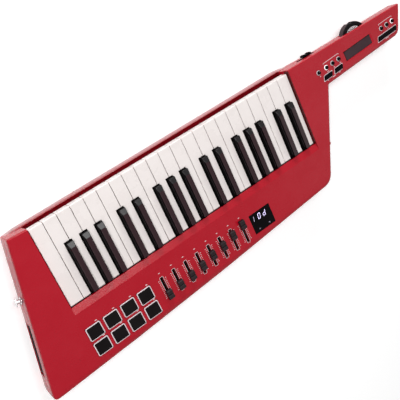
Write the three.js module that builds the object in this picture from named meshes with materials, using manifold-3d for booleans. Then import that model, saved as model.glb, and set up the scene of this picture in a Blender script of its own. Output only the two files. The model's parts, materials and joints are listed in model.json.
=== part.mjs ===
import * as THREE from 'three';
import { mergeVertices } from 'three/addons/utils/BufferGeometryUtils.js';
import Module from 'manifold-3d';

// A keytar: a keyboard with a neck, worn on a strap like a guitar. It lies on its back with the
// panel up. Sizes are in millimetres. +X points along the neck, +Y from the panel's rear edge to
// the key fronts, and +Z up out of the panel. The pieces are laid out from the tail end of the
// white keys' front edge, at the height of their tops, and the whole is then moved so that the
// origin is under the middle of the object, on the surface that it lies on.

// Clearances
const seatGap = 0.3;
const runGap = 0.6;
const cutOverrun = 6;

// Keyboard: 22 white keys in three octaves from C to C, the highest C at the tail
const whiteKeyCount = 22;
const whiteKeyPitch = 23.5;
const keySideGap = 1;
const keyTopThickness = 2.5;
const keyWall = 2;
const keySkirtDepth = 12;
const keyLipDepth = 16;
const keyEdgeChamfer = 0.8;
const keyHeadLength = 44.4;
const keyLipToLip = 135.8;
const keyTailCover = 14.2;
const keyTravelDegrees = 3.6;
const knuckleSetback = 2;
const hingeDrop = 8;
const knuckleRadius = 3;
const blackKeyFront = 45.4;
const blackKeyRearGap = 4.8;
const blackKeyWidth = 12.7;
const blackKeyShoulderWidth = 11.2;
const blackKeyTopWidth = 8;
const blackKeyShoulderHeight = 8.4;
const blackKeyHeight = 11.5;
const blackKeySlopeLength = 8.9;
const blackKeySideGap = 0.9;
// For each black key: the white key gap it stands over, counted from the tail, and how far its
// middle stands beside that gap, as a share of the white key pitch
const octaveGapCounts = [2, 3, 4, 6, 7];
const octaveShiftShares = [-0.14, 0, 0.125, -0.11, 0.11];
const whiteKeysPerOctave = 7;

// Casing seen from above, from the tail end of the keys
const tailCheekWidth = 34.2;
const tailRearReach = 91.3;
const tailFrontReach = 6.3;
const cheekFrontReach = 4.3;
const tipFrontReach = 7;
// How far the rear edge lies behind the middles of the last pads, at the tail
const rearMargin = 31.1;
// The rear edge's depth at its middle and at the shoulder, as shares of its depth at the tail
const rearMiddleShare = 0.962;
const rearShoulderShare = 0.8765;
// Where the rear edge has its middle corner, and how long that corner's cut is, as shares of the
// keyboard's length
const rearMiddlePlaceShare = 0.414;
const rearMiddleCutShare = 0.464;
const shoulderBeyondKeys = 1.5;
const neckRootBeyondKeys = 73.9;
const neckRootDepth = 55.6;
const tipRearBeyondKeys = 268;
const tipRearDepth = 44.9;
const tipFrontBeyondKeys = 292;
const tailFrontCut = 3;
const tailRearCut = 12;
const shoulderCut = 15;
const neckRootCut = 3;
const tipRearCut = 9;
const tipFrontCut = 2.5;
const sharpestCut = 0.4;
const cornerSteps = 5;

// Casing heights, measured down from the panel, and its walls
const panelRise = 7;
const bodyThickness = 50;
const neckThickness = 28;
const bodySeamDrop = 27;
const neckSeamDrop = 14;
const wall = 3.2;
const panelThickness = 3;
const floorThickness = 3;
const panelEdgeRound = 7;
const panelEdgeDrop = 5;
// The panel's rounded edge as a quarter of an ellipse: shares of its drop and of its rounding
const panelEdgeShares = [[1, 0], [0.62, 0.08], [0.29, 0.29], [0.08, 0.62], [0, 1]];
// How much of that rounding the front, tail and tip edges have, and the slanted wall and the neck
const crispEdgeShare = 0.25;
const slantedEdgeShare = 0.7;
const cheekTopDrop = 0.8;
const seamDraft = 0.8;
const lowerEdgeRound = 6;
const lowerEdgeMid = 2;
const rampStartBeyondKeys = 1;
const rampEndBeyondKeys = 78;

// Key opening and the slope behind it
const openingTailGap = 2;
const openingNeckGap = 1;
const keyFrontGap = 1.2;
const lipUndersideRise = 1;
const lipRise = 3;
const slopeDepth = 11;
const openingWall = 3;

// Key chassis
const chassisPlate = 2;
const chassisFloorDrop = 34;
const chassisLeg = 3;
const hingeRailDepth = 8;
const hingeRailDrop = 2;
const stopRailSetback = 8;
const stopRailDepth = 4;
const chassisEndGap = 0.5;

// Pads: two rows of four, on one rubber mat
const padColumns = 4;
const padRows = 2;
const padPitchAlong = 32.1;
const padPitchAcross = 27.5;
const firstPadPlace = 12.8;
const firstPadReach = 18.7;
const padWidth = 22.8;
const padDepth = 19.6;
const padFrameWidth = 26.4;
const padFrameDepth = 23.4;
const padRise = 2.3;
const padFrameDrop = 0.3;
const padMatThickness = 2;
const padMatMargin = 2;

// Faders on the panel
const faderCount = 8;
const faderPitch = 24.16;
const firstFaderPlace = 144.9;
const faderTravel = 30;
const faderSlotWidth = 4;
const faderSlotLength = 38.2;
const faderCapWidth = 10;
const faderCapLength = 17;
const faderCapHeight = 7.6;
const faderCapLift = 0.8;
const faderCapDip = 1;
const faderGrooveWidth = 1.2;
const faderGrooveDepth = 1.2;
const faderStemWidth = 3;
const faderStemLength = 5;
// Where each cap stands, as a share of its travel from the slot's middle towards the keys
const faderRestShares = [-0.39, -0.31, -0.25, -0.15, 0.02, 0.1, 0.29, 0.49];

// Control board and the slide controls on it
const boardThickness = 1.6;
const controlBoardDrop = 11.5;
const slideControlHeight = 5;
const slideControlWidth = 12;
const slideControlLength = 46;
const slideControlWell = 3;
const boardTailPlace = -6;
const boardStepPlace = 118;
const boardDisplayMargin = 5.5;
const boardHingeGap = 8;
const boardFrontReach = 27.5;
const boardRearReach = 21.5;
const boardPadMargin = 5.1;

// Posts that the control board hangs from: places along the keyboard and setbacks from its front
const postRadius = 1.9;
const controlPostPlaces = [[10, 2.3], [128, 2.3], [254, 2.3], [380, 2.3],
  [131, 45], [326, 45], [381, 45]];

// Display window
const displayPlace = 355.5;
const displayForwardShift = 1.2;
const displayWidth = 46;
const displayDepth = 36;
const displayThickness = 1.6;
const displaySink = 0.2;
const displayLedge = 2;

// Neck controls stand on a line that is turned a little towards the neck tip. Places are along
// that line from the first round button, and across it towards the rear edge.
const neckLineDegrees = 3.18;
const neckLineBeyondKeys = 59.8;
const neckLineDepth = 27;
const roundButtonPlaces = [0, 20.1, 36.1, 52.1, 170.6, 186.1, 201.6];
const roundButtonDiameter = 6.4;
const roundButtonRing = 9.6;
const roundButtonRise = 3;
const ringSink = 0.2;
const slantedButtonSetback = 15;
const slantedButtonWidth = 18.5;
const slantedButtonDepth = 7.2;
const slantedButtonRise = 3;
const buttonFlange = 1.2;
const buttonFlangeThickness = 1.4;
const octaveDownPlace = 16.8;
const octaveUpPlace = 44.1;
const barButtonPlace = 179.6;
const barButtonWidth = 49;
// How far a slanted button leans along the neck, as a share of its depth
const buttonLeanShare = 0.45;
const touchStripPlace = 104.9;
const touchStripSetback = 4.5;
const touchStripLength = 70;
const touchStripDepth = 17;
const touchStripSink = 1.4;
const stripEndSlope = 4;
const stripSideSlope = 1.2;
const neckBoardDrop = 6;
const neckBoardStart = -8;
const neckBoardEnd = 206.5;
const neckBoardRear = 21;
const neckBoardFront = 8;
// Posts that the neck board hangs from, by place and setback on the neck line
const neckPostPlaces = [[-4, 17], [62, 17], [147, 17]];

// Modulation slider in the front wall of the neck
const sliderBeyondKeys = 59;
const sliderRestOffset = 2;
const sliderTravel = 26;
const sliderDrop = 18;
const sliderSlotHeight = 4;
const sliderCapLength = 20;
const sliderCapHeight = 9;
const sliderCapReach = 4;
const sliderStemLength = 12;
const sliderFootHeight = 8;
const sliderFootThickness = 2;

// Pitch wheel, on an upright axle in the neck
const wheelBeyondKeys = 174;
const wheelSetback = 12;
const wheelRadius = 32.4;
const wheelRimWidth = 8;
const wheelThickness = 13;
const wheelTopDrop = 8.6;
const wheelHubSink = 2;
const wheelRimRound = 1.6;
const wheelAxleRadius = 3;
const wheelBoreRadius = 3.5;
const wheelNotchRadius = 9;
const wheelNotchDepth = 3;
const wheelSteps = 44;

// Strap buttons
const strapFlangeRadius = 5.5;
const strapFlangeThickness = 1.6;
const strapNeckRadius = 3.4;
const strapHeadRadius = 7;
const strapHeadThickness = 2.4;
const strapButtonReach = 11;
const strapScrewRadius = 2;
const strapScrewLength = 9;
const strapSteps = 20;
const tailStrapDepth = 87;
const tailStrapDrop = 18;
const neckStrapDepth = 112;
const neckStrapDrop = 25.5;

// Jack bay in the tail wall
const bayFrontDepth = 128;
const bayLength = 84;
const bayTopDrop = 19;
const bayDepth = 15;
const bayWall = 2.2;
const phoneJackPlace = 9;
const phoneJackNutRadius = 6;
const phoneJackBoreRadius = 3.4;
const jackNutReach = 4;
const dinJackPlace = 31;
const dinJackRadius = 8.5;
const dinJackBoreRadius = 7;
const usbJackPlace = 54;
const usbJackWidth = 13;
const usbJackHeight = 11.5;
const usbShellWall = 1;
const powerJackPlace = 73;
const powerJackRadius = 5;
const powerJackBoreRadius = 2.8;
const jackReach = 2;
const roundSteps = 20;

// Screws, bosses and the battery door's place on the underside
const bossRadius = 3.4;
const bossSteps = 12;
const screwSeatRadius = 2.6;
const screwSeatDepth = 1.4;
// Where the body's case screws go, as shares of the keyboard's length and of the depth from the
// hinge rail's rear to the rear edge at the tail
const bodyBossShares = [
  [-0.06, 0.047], [0.24, 0.047], [0.5, 0.047], [0.76, 0.047],
  [-0.12, 0.799], [0.45, 0.741], [0.85, 0.597],
];
const tipBossSetback = 33.5;
const tipBossDepth = 2;
// The boss in the slanted wall, as a share of that wall from the neck's root to the shoulder
const slantedBossShare = 0.59;
const slantedBossInset = 3;

// Places that follow from the sizes above
const keyboardLength = whiteKeyCount * whiteKeyPitch;
const rearMiddlePlace = rearMiddlePlaceShare * keyboardLength;
const rearMiddleCut = rearMiddleCutShare * keyboardLength;
const shoulderPlace = keyboardLength + shoulderBeyondKeys;
const neckRootPlace = keyboardLength + neckRootBeyondKeys;
const tipRearPlace = keyboardLength + tipRearBeyondKeys;
const tipFrontPlace = keyboardLength + tipFrontBeyondKeys;
const neckRampStart = keyboardLength + rampStartBeyondKeys;
const neckRampEnd = keyboardLength + rampEndBeyondKeys;
const neckLinePlace = keyboardLength + neckLineBeyondKeys;
const sliderPlace = keyboardLength + sliderBeyondKeys;
const wheelPlace = keyboardLength + wheelBeyondKeys;
const keyTailLength = keyLipToLip + keyTailCover;
const hingeSetback = keyTailLength + knuckleSetback;
const hingeRailRear = hingeSetback + hingeRailDepth;
const blackKeyRear = keyLipToLip - blackKeyRearGap;
const boardFrontDepth = hingeRailRear + boardHingeGap;
const faderSlotMiddle = boardFrontDepth + boardFrontReach;
const firstPadDepth = boardFrontDepth + firstPadReach;
const lastPadDepth = firstPadDepth + (padRows - 1) * padPitchAcross;
const rearDepthAtTail = lastPadDepth + rearMargin;
const rearDepthAtMiddle = rearMiddleShare * rearDepthAtTail;
const rearDepthAtShoulder = rearShoulderShare * rearDepthAtTail;
const panelTop = panelRise;
const panelUnder = panelTop - panelThickness;
const bodyBottom = panelTop - bodyThickness;
const neckBottom = panelTop - neckThickness;
const bodySeam = panelTop - bodySeamDrop;
const neckSeam = panelTop - neckSeamDrop;
const openingStart = -openingTailGap;
const openingEnd = keyboardLength + openingNeckGap;
const wallAtSeam = wall + seamDraft;
const controlBoardTop = panelTop - controlBoardDrop;
const boardRearDepth = faderSlotMiddle + boardRearReach;
const boardNeckPlace = displayPlace + displayWidth / 2 + boardDisplayMargin;
const boardPadRearDepth = lastPadDepth + padFrameDepth / 2 + boardPadMargin;
const displayDepthPlace = faderSlotMiddle - displayForwardShift;
const neckBoardTop = panelTop - neckBoardDrop;
const wheelTop = panelTop - wheelTopDrop;
const sliderHeight = panelTop - sliderDrop;
const chassisFloor = -chassisFloorDrop;

const wasm = await Module();
wasm.setup();

// Turns a closed geometry into a solid that can be joined and cut.
function solidOf(geometry) {
  const bare = geometry.clone();
  bare.deleteAttribute('normal');
  bare.deleteAttribute('uv');
  const merged = mergeVertices(bare);
  return new wasm.Manifold(new wasm.Mesh({
    numProp: 3,
    vertProperties: new Float32Array(merged.attributes.position.array),
    triVerts: new Uint32Array(merged.index.array),
  }));
}

function geometryOf(solid) {
  const mesh = solid.getMesh();
  const geometry = new THREE.BufferGeometry();
  geometry.setAttribute('position', new THREE.BufferAttribute(mesh.vertProperties, 3));
  geometry.setIndex(new THREE.BufferAttribute(mesh.triVerts, 1));
  geometry.computeVertexNormals();
  return geometry;
}

function join(first, ...others) {
  return others.reduce((whole, solid) => whole.add(solid), first);
}

function cut(first, ...others) {
  return others.reduce((rest, solid) => rest.subtract(solid), first);
}

// A box given by its lowest and highest corner.
function boxBetween(low, high) {
  const size = high.map((value, i) => value - low[i]);
  const geometry = new THREE.BoxGeometry(...size);
  geometry.translate(...low.map((value, i) => value + size[i] / 2));
  return geometry;
}

function blockBetween(low, high) {
  return solidOf(boxBetween(low, high));
}

// The casing's corners seen from above, run through with the tail on the left and the rear edge
// below. Each has its cut, and the share of the panel's edge rounding on the side that follows it.
const casingCorners = [
  [-tailCheekWidth, tailFrontReach, tailFrontCut, crispEdgeShare],
  [-tailRearReach, -rearDepthAtTail, tailRearCut, 1],
  [rearMiddlePlace, -rearDepthAtMiddle, rearMiddleCut, 1],
  [shoulderPlace, -rearDepthAtShoulder, shoulderCut, slantedEdgeShare],
  [neckRootPlace, -neckRootDepth, neckRootCut, slantedEdgeShare],
  [tipRearPlace, -tipRearDepth, tipRearCut, crispEdgeShare],
  [tipFrontPlace, tipFrontReach, tipFrontCut, crispEdgeShare],
  [-openingTailGap, cheekFrontReach, sharpestCut, crispEdgeShare],
];

// The outline with each straight side moved inwards by the inset and by its share of the rounding,
// and each corner rounded by an arc that starts its cut before it. The cut shrinks with the
// inset, down to the sharpest corner.
function casingOutline(inset, rounding = 0) {
  const corners = casingCorners.map(([x, y]) => new THREE.Vector2(x, y));
  return corners.flatMap((corner, i) => {
    const last = (i + corners.length - 1) % corners.length;
    const next = (i + 1) % corners.length;
    const along = corner.clone().sub(corners[last]).normalize();
    const onwards = corners[next].clone().sub(corner).normalize();
    const insetBefore = inset + rounding * casingCorners[last][3];
    const insetAfter = inset + rounding * casingCorners[i][3];
    const slide = (insetBefore * along.dot(onwards) - insetAfter) / along.cross(onwards);
    const moved = corner.clone()
      .addScaledVector(new THREE.Vector2(-along.y, along.x), insetBefore)
      .addScaledVector(along, slide);
    const shrunk = Math.max(sharpestCut, casingCorners[i][2] + slide);
    const start = moved.clone().addScaledVector(along, -shrunk);
    const end = moved.clone().addScaledVector(onwards, shrunk);
    return new THREE.QuadraticBezierCurve(start, moved, end).getPoints(cornerSteps);
  });
}

// A closed solid through rings of points, each ring run through anticlockwise seen from above.
function stack(rings) {
  const count = rings[0].length;
  const faces = [];
  const capOf = (ring) => THREE.ShapeUtils.triangulateShape(
    ring.map(([x, y]) => new THREE.Vector2(x, y)), []);
  capOf(rings[0]).forEach(([a, b, c]) => faces.push(a, c, b));
  rings.slice(1).forEach((ring, level) => {
    const low = level * count;
    const high = low + count;
    ring.forEach((point, i) => {
      const next = (i + 1) % count;
      faces.push(low + i, low + next, high + next);
      faces.push(low + i, high + next, high + i);
    });
  });
  const top = (rings.length - 1) * count;
  capOf(rings.at(-1)).forEach(([a, b, c]) => faces.push(top + a, top + b, top + c));
  const geometry = new THREE.BufferGeometry();
  geometry.setAttribute('position', new THREE.Float32BufferAttribute(rings.flat(2), 3));
  geometry.setIndex(faces);
  return geometry;
}

// The casing's outline at several heights, each with its inset, as one closed solid.
function terrace(levels) {
  return stack(levels.map(([height, inset, rounding]) => casingOutline(inset, rounding)
    .map((point) => [point.x, point.y, height])));
}

// A flat outline in the XY plane, raised between two heights.
function slab(points, low, high) {
  const shape = new THREE.Shape(points.map(([x, y]) => new THREE.Vector2(x, y)));
  const geometry = new THREE.ExtrudeGeometry(shape, { depth: high - low, bevelEnabled: false });
  geometry.translate(0, 0, low);
  return geometry;
}

// A side outline of Y and Z values, carried along X from one place to another.
function sideSlab(shape, start, end) {
  const geometry = new THREE.ExtrudeGeometry(shape, {
    depth: end - start,
    bevelEnabled: false,
    curveSegments: cornerSteps,
  });
  const turn = new THREE.Matrix4().makeBasis(
    new THREE.Vector3(0, 1, 0), new THREE.Vector3(0, 0, 1), new THREE.Vector3(1, 0, 0));
  geometry.applyMatrix4(turn);
  geometry.translate(start, 0, 0);
  return geometry;
}

function sideShape(points) {
  return new THREE.Shape(points.map(([y, z]) => new THREE.Vector2(y, z)));
}

// An upright round pin between two heights.
function pin(x, y, radius, low, high, steps) {
  const geometry = new THREE.CylinderGeometry(radius, radius, high - low, steps);
  geometry.rotateX(Math.PI / 2);
  geometry.translate(x, y, (low + high) / 2);
  return geometry;
}

// Adds a named piece to a group, at a place in it.
function addPiece(group, name, geometry, material, place = [0, 0, 0]) {
  const mesh = new THREE.Mesh(geometry, material);
  mesh.name = name;
  mesh.position.set(...place);
  group.add(mesh);
  return mesh;
}

const redGloss = new THREE.MeshStandardMaterial({ color: 0xb01626, roughness: 0.28, metalness: 0 });
const keyWhite = new THREE.MeshStandardMaterial({ color: 0xf0e8e6, roughness: 0.35, metalness: 0 });
const keyBlack = new THREE.MeshStandardMaterial({ color: 0x1c181a, roughness: 0.45, metalness: 0 });
const darkPlastic = new THREE.MeshStandardMaterial({ color: 0x222022, roughness: 0.55, metalness: 0 });
const padRubber = new THREE.MeshStandardMaterial({ color: 0x181617, roughness: 0.8, metalness: 0 });
const boardGreen = new THREE.MeshStandardMaterial({ color: 0x1d4a33, roughness: 0.6, metalness: 0 });
const darkGlass = new THREE.MeshStandardMaterial({ color: 0x0c0b0d, roughness: 0.12, metalness: 0 });
const steel = new THREE.MeshStandardMaterial({ color: 0xc8c8cc, roughness: 0.28, metalness: 1 });
const greyPlastic = new THREE.MeshStandardMaterial({ color: 0x4a474a, roughness: 0.6, metalness: 0 });

const keytar = new THREE.Group();

// Frame of the neck controls: a group whose X runs along their line.
const neckControls = new THREE.Group();
neckControls.position.set(neckLinePlace, -neckLineDepth, 0);
neckControls.rotation.z = THREE.MathUtils.degToRad(neckLineDegrees);
neckControls.updateMatrixWorld();
keytar.add(neckControls);

function inNeckFrame(geometry) {
  return geometry.clone().applyMatrix4(neckControls.matrixWorld);
}

// The tail wall and the slanted wall, each as a frame: X along the wall, Y inwards, Z up
function wallFrame(startX, startY, endX, endY, depth) {
  const start = new THREE.Vector3(startX, startY, 0);
  const end = new THREE.Vector3(endX, endY, 0);
  const along = end.clone().sub(start).normalize();
  const up = new THREE.Vector3(0, 0, 1);
  const inwards = up.clone().cross(along);
  const origin = start.addScaledVector(along, (-depth - startY) / along.y);
  return new THREE.Matrix4().makeBasis(along, inwards, up).setPosition(origin);
}

const bayFrame = wallFrame(
  -tailCheekWidth, tailFrontReach, -tailRearReach, -rearDepthAtTail, bayFrontDepth);
const tailStrapFrame = wallFrame(
  -tailCheekWidth, tailFrontReach, -tailRearReach, -rearDepthAtTail, tailStrapDepth);
const neckStrapFrame = wallFrame(
  shoulderPlace, -rearDepthAtShoulder, neckRootPlace, -neckRootDepth, neckStrapDepth);

const bayTop = panelTop - bayTopDrop;
const bayFloor = bodyBottom + floorThickness;

// The jack bay's opening in the tail wall
function bayCutter() {
  const low = [0, -cutOverrun, bayFloor];
  const high = [bayLength, bayDepth, bayTop];
  return solidOf(boxBetween(low, high).applyMatrix4(bayFrame));
}

// The wheel's slot through the front wall of the neck
const wheelSlotReach = wheelRadius - wheelRimWidth / 4;
function wheelCutter() {
  const low = [wheelPlace - wheelSlotReach, -wheelSetback + wheelBoreRadius,
    wheelTop - wheelThickness - runGap];
  const high = [wheelPlace + wheelSlotReach, tipFrontReach + cutOverrun, wheelTop + runGap];
  return blockBetween(low, high);
}

// A slanted button's outline round its middle, grown by a margin on every side
function leaningOutline(width, depth, margin) {
  const halfWidth = width / 2 + margin;
  const halfDepth = depth / 2 + margin;
  const lean = halfDepth * buttonLeanShare;
  return [
    [-halfWidth - lean, -halfDepth],
    [halfWidth - lean, -halfDepth],
    [halfWidth + lean, halfDepth],
    [-halfWidth + lean, halfDepth],
  ];
}

const slantedButtons = [
  ['octave_down_button', octaveDownPlace, slantedButtonWidth],
  ['octave_up_button', octaveUpPlace, slantedButtonWidth],
  ['bar_button', barButtonPlace, barButtonWidth],
];

function padPlace(column, row) {
  return [firstPadPlace + column * padPitchAlong, -firstPadDepth - row * padPitchAcross];
}

function faderPlace(i) {
  return firstFaderPlace + i * faderPitch;
}

// Where the case screws go: in the body, and in the neck by its tip and in the slanted wall
const bodyBossPlaces = bodyBossShares.map(([lengthShare, depthShare]) => [
  lengthShare * keyboardLength,
  -hingeRailRear - depthShare * (rearDepthAtTail - hingeRailRear),
]);
const neckBossPlaces = [
  [tipFrontPlace - tipBossSetback, -tipBossDepth],
  [neckRootPlace + slantedBossShare * (shoulderPlace - neckRootPlace) - slantedBossInset,
    -neckRootDepth - slantedBossShare * (rearDepthAtShoulder - neckRootDepth)],
];

// The case screws' bosses: each shell has half of every boss, from its own wall to the seam.
function bosses(places, low, high) {
  return places.map(([x, y]) => solidOf(pin(x, y, bossRadius, low, high, bossSteps)));
}

// The posts under the panel that the two circuit boards hang from
function boardPosts() {
  const postTop = panelUnder + panelThickness / 2;
  const controlPosts = controlPostPlaces.map(([x, setback]) => pin(
    x, -boardFrontDepth - setback, postRadius, controlBoardTop + seatGap, postTop, bossSteps));
  const neckPosts = neckPostPlaces.map(([place, depth]) => inNeckFrame(pin(
    place, -depth, postRadius, neckBoardTop + seatGap, postTop, bossSteps)));
  return [...controlPosts, ...neckPosts].map(solidOf);
}

// The recesses for the screw heads in the underside
function screwSeats(places, under) {
  return places.map(([x, y]) => solidOf(pin(
    x, y, screwSeatRadius, under - cutOverrun, under + screwSeatDepth, bossSteps)));
}

// The windows, slots and holes of the panel
function panelCutters() {
  const low = panelUnder - cutOverrun;
  const high = panelTop + cutOverrun;
  const cutters = [];
  for (let column = 0; column < padColumns; column += 1) {
    for (let row = 0; row < padRows; row += 1) {
      const [x, y] = padPlace(column, row);
      const halfWidth = padFrameWidth / 2 + seatGap;
      const halfDepth = padFrameDepth / 2 + seatGap;
      cutters.push(boxBetween([x - halfWidth, y - halfDepth, low], [x + halfWidth, y + halfDepth, high]));
    }
  }
  for (let i = 0; i < faderCount; i += 1) {
    const x = faderPlace(i);
    cutters.push(boxBetween(
      [x - faderSlotWidth / 2, -faderSlotMiddle - faderSlotLength / 2, low],
      [x + faderSlotWidth / 2, -faderSlotMiddle + faderSlotLength / 2, high]));
  }
  const glassWidth = displayWidth / 2;
  const glassDepth = displayDepth / 2;
  cutters.push(boxBetween(
    [displayPlace - glassWidth, -displayDepthPlace - glassDepth,
      panelTop - displaySink - displayThickness - seatGap],
    [displayPlace + glassWidth, -displayDepthPlace + glassDepth, high]));
  cutters.push(boxBetween(
    [displayPlace - glassWidth + displayLedge, -displayDepthPlace - glassDepth + displayLedge, low],
    [displayPlace + glassWidth - displayLedge, -displayDepthPlace + glassDepth - displayLedge, high]));
  roundButtonPlaces.forEach((place) => {
    cutters.push(inNeckFrame(pin(place, 0, roundButtonRing / 2, low, high, roundSteps)));
  });
  slantedButtons.forEach(([, place, width]) => {
    const hole = slab(leaningOutline(width, slantedButtonDepth, runGap), low, high);
    hole.translate(place, -slantedButtonSetback, 0);
    cutters.push(inNeckFrame(hole));
  });
  const stripRing = (endMargin, sideMargin, height) => {
    const halfLength = touchStripLength / 2 + endMargin;
    const halfDepth = touchStripDepth / 2 + sideMargin;
    return [[-halfLength, -halfDepth], [halfLength, -halfDepth], [halfLength, halfDepth],
      [-halfLength, halfDepth]].map(([x, y]) => [
      touchStripPlace + x, y - touchStripSetback, height]);
  };
  const stripFoot = panelTop - touchStripSink - seatGap;
  cutters.push(inNeckFrame(stack([
    stripRing(seatGap, seatGap, low),
    stripRing(seatGap, seatGap, stripFoot),
    stripRing(stripEndSlope, stripSideSlope, panelTop),
    stripRing(stripEndSlope, stripSideSlope, high),
  ])));
  return cutters.map(solidOf);
}

// Upper shell: the panel with its rounded edge, its walls down to the seam, the cheeks beside the
// keys and the slope behind them.
function upperShell() {
  const outer = terrace([
    [bodySeam, seamDraft],
    ...panelEdgeShares.map(([dropShare, insetShare]) => [
      panelTop - dropShare * panelEdgeDrop, 0, insetShare * panelEdgeRound]),
  ]);
  const neckUnder = blockBetween(
    [openingEnd, -rearDepthAtTail - cutOverrun, bodySeam - cutOverrun],
    [tipFrontPlace + cutOverrun, tipFrontReach + cutOverrun, neckSeam]);
  const hollow = solidOf(terrace([
    [bodySeam - cutOverrun, wallAtSeam],
    [panelUnder, wall],
  ]));
  const cheekEnd = cheekFrontReach - wall;
  const openingRear = -keyLipToLip - openingWall;
  const lip = blockBetween(
    [openingStart - openingWall, -keyLipToLip - slopeDepth - openingWall, lipUndersideRise],
    [openingEnd + openingWall, -keyLipToLip, panelTop - cheekTopDrop]);
  const tailCheek = blockBetween(
    [openingStart - openingWall, openingRear, bodySeam],
    [openingStart, cheekEnd + openingWall / 2, panelTop - cheekTopDrop]);
  const neckCheek = blockBetween(
    [openingEnd, openingRear, neckSeam],
    [openingEnd + openingWall, cheekEnd + openingWall / 2, panelTop - cheekTopDrop]);
  const opening = blockBetween(
    [openingStart, -keyLipToLip, bodySeam - cutOverrun],
    [openingEnd, tipFrontReach + cutOverrun, panelTop + cutOverrun]);
  const slopeRise = (panelRise - lipRise) / slopeDepth;
  const slope = solidOf(sideSlab(sideShape([
    [-keyLipToLip + cutOverrun, lipRise],
    [-keyLipToLip, lipRise],
    [-keyLipToLip - slopeDepth, panelTop],
    [-keyLipToLip - slopeDepth - cutOverrun, panelTop + cutOverrun * slopeRise],
    [-keyLipToLip + cutOverrun, panelTop + cutOverrun * slopeRise],
  ]), openingStart, openingEnd));
  const bossTop = panelUnder + panelThickness / 2;
  const plain = join(cut(solidOf(outer), hollow), lip, tailCheek, neckCheek,
    ...bosses(bodyBossPlaces, bodySeam, bossTop), ...bosses(neckBossPlaces, neckSeam, bossTop));
  return cut(join(plain, ...boardPosts()), neckUnder, opening, slope, bayCutter(), wheelCutter(),
    strapHole(tailStrapFrame, tailStrapDrop), ...panelCutters());
}

// A strap button's screw hole through a wall
function strapHole(frame, drop) {
  const radius = strapScrewRadius + seatGap;
  const geometry = new THREE.CylinderGeometry(radius, radius, 2 * strapScrewLength, bossSteps);
  geometry.translate(0, 0, panelTop - drop);
  return solidOf(geometry.applyMatrix4(frame));
}

// Everything below the casing's underside, which rises to the neck by a slope; the same cutter
// raised by the floor's thickness shapes the inside.
function belowUnderside(raise) {
  const low = bodyBottom - cutOverrun;
  const shape = sideShapeAlongX([
    [neckRampStart, bodyBottom + raise],
    [neckRampEnd, neckBottom + raise],
    [tipFrontPlace + cutOverrun, neckBottom + raise],
    [tipFrontPlace + cutOverrun, low],
    [neckRampStart, low],
  ]);
  return solidOf(shape);
}

// An outline of X and Z values, carried across the whole depth of the casing.
function sideShapeAlongX(points) {
  const shape = new THREE.Shape(points.map(([x, z]) => new THREE.Vector2(x, z)));
  const depth = rearDepthAtTail + tipFrontReach + 2 * cutOverrun;
  const geometry = new THREE.ExtrudeGeometry(shape, { depth, bevelEnabled: false });
  geometry.rotateX(Math.PI / 2);
  geometry.translate(0, tipFrontReach + cutOverrun, 0);
  return geometry;
}

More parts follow.
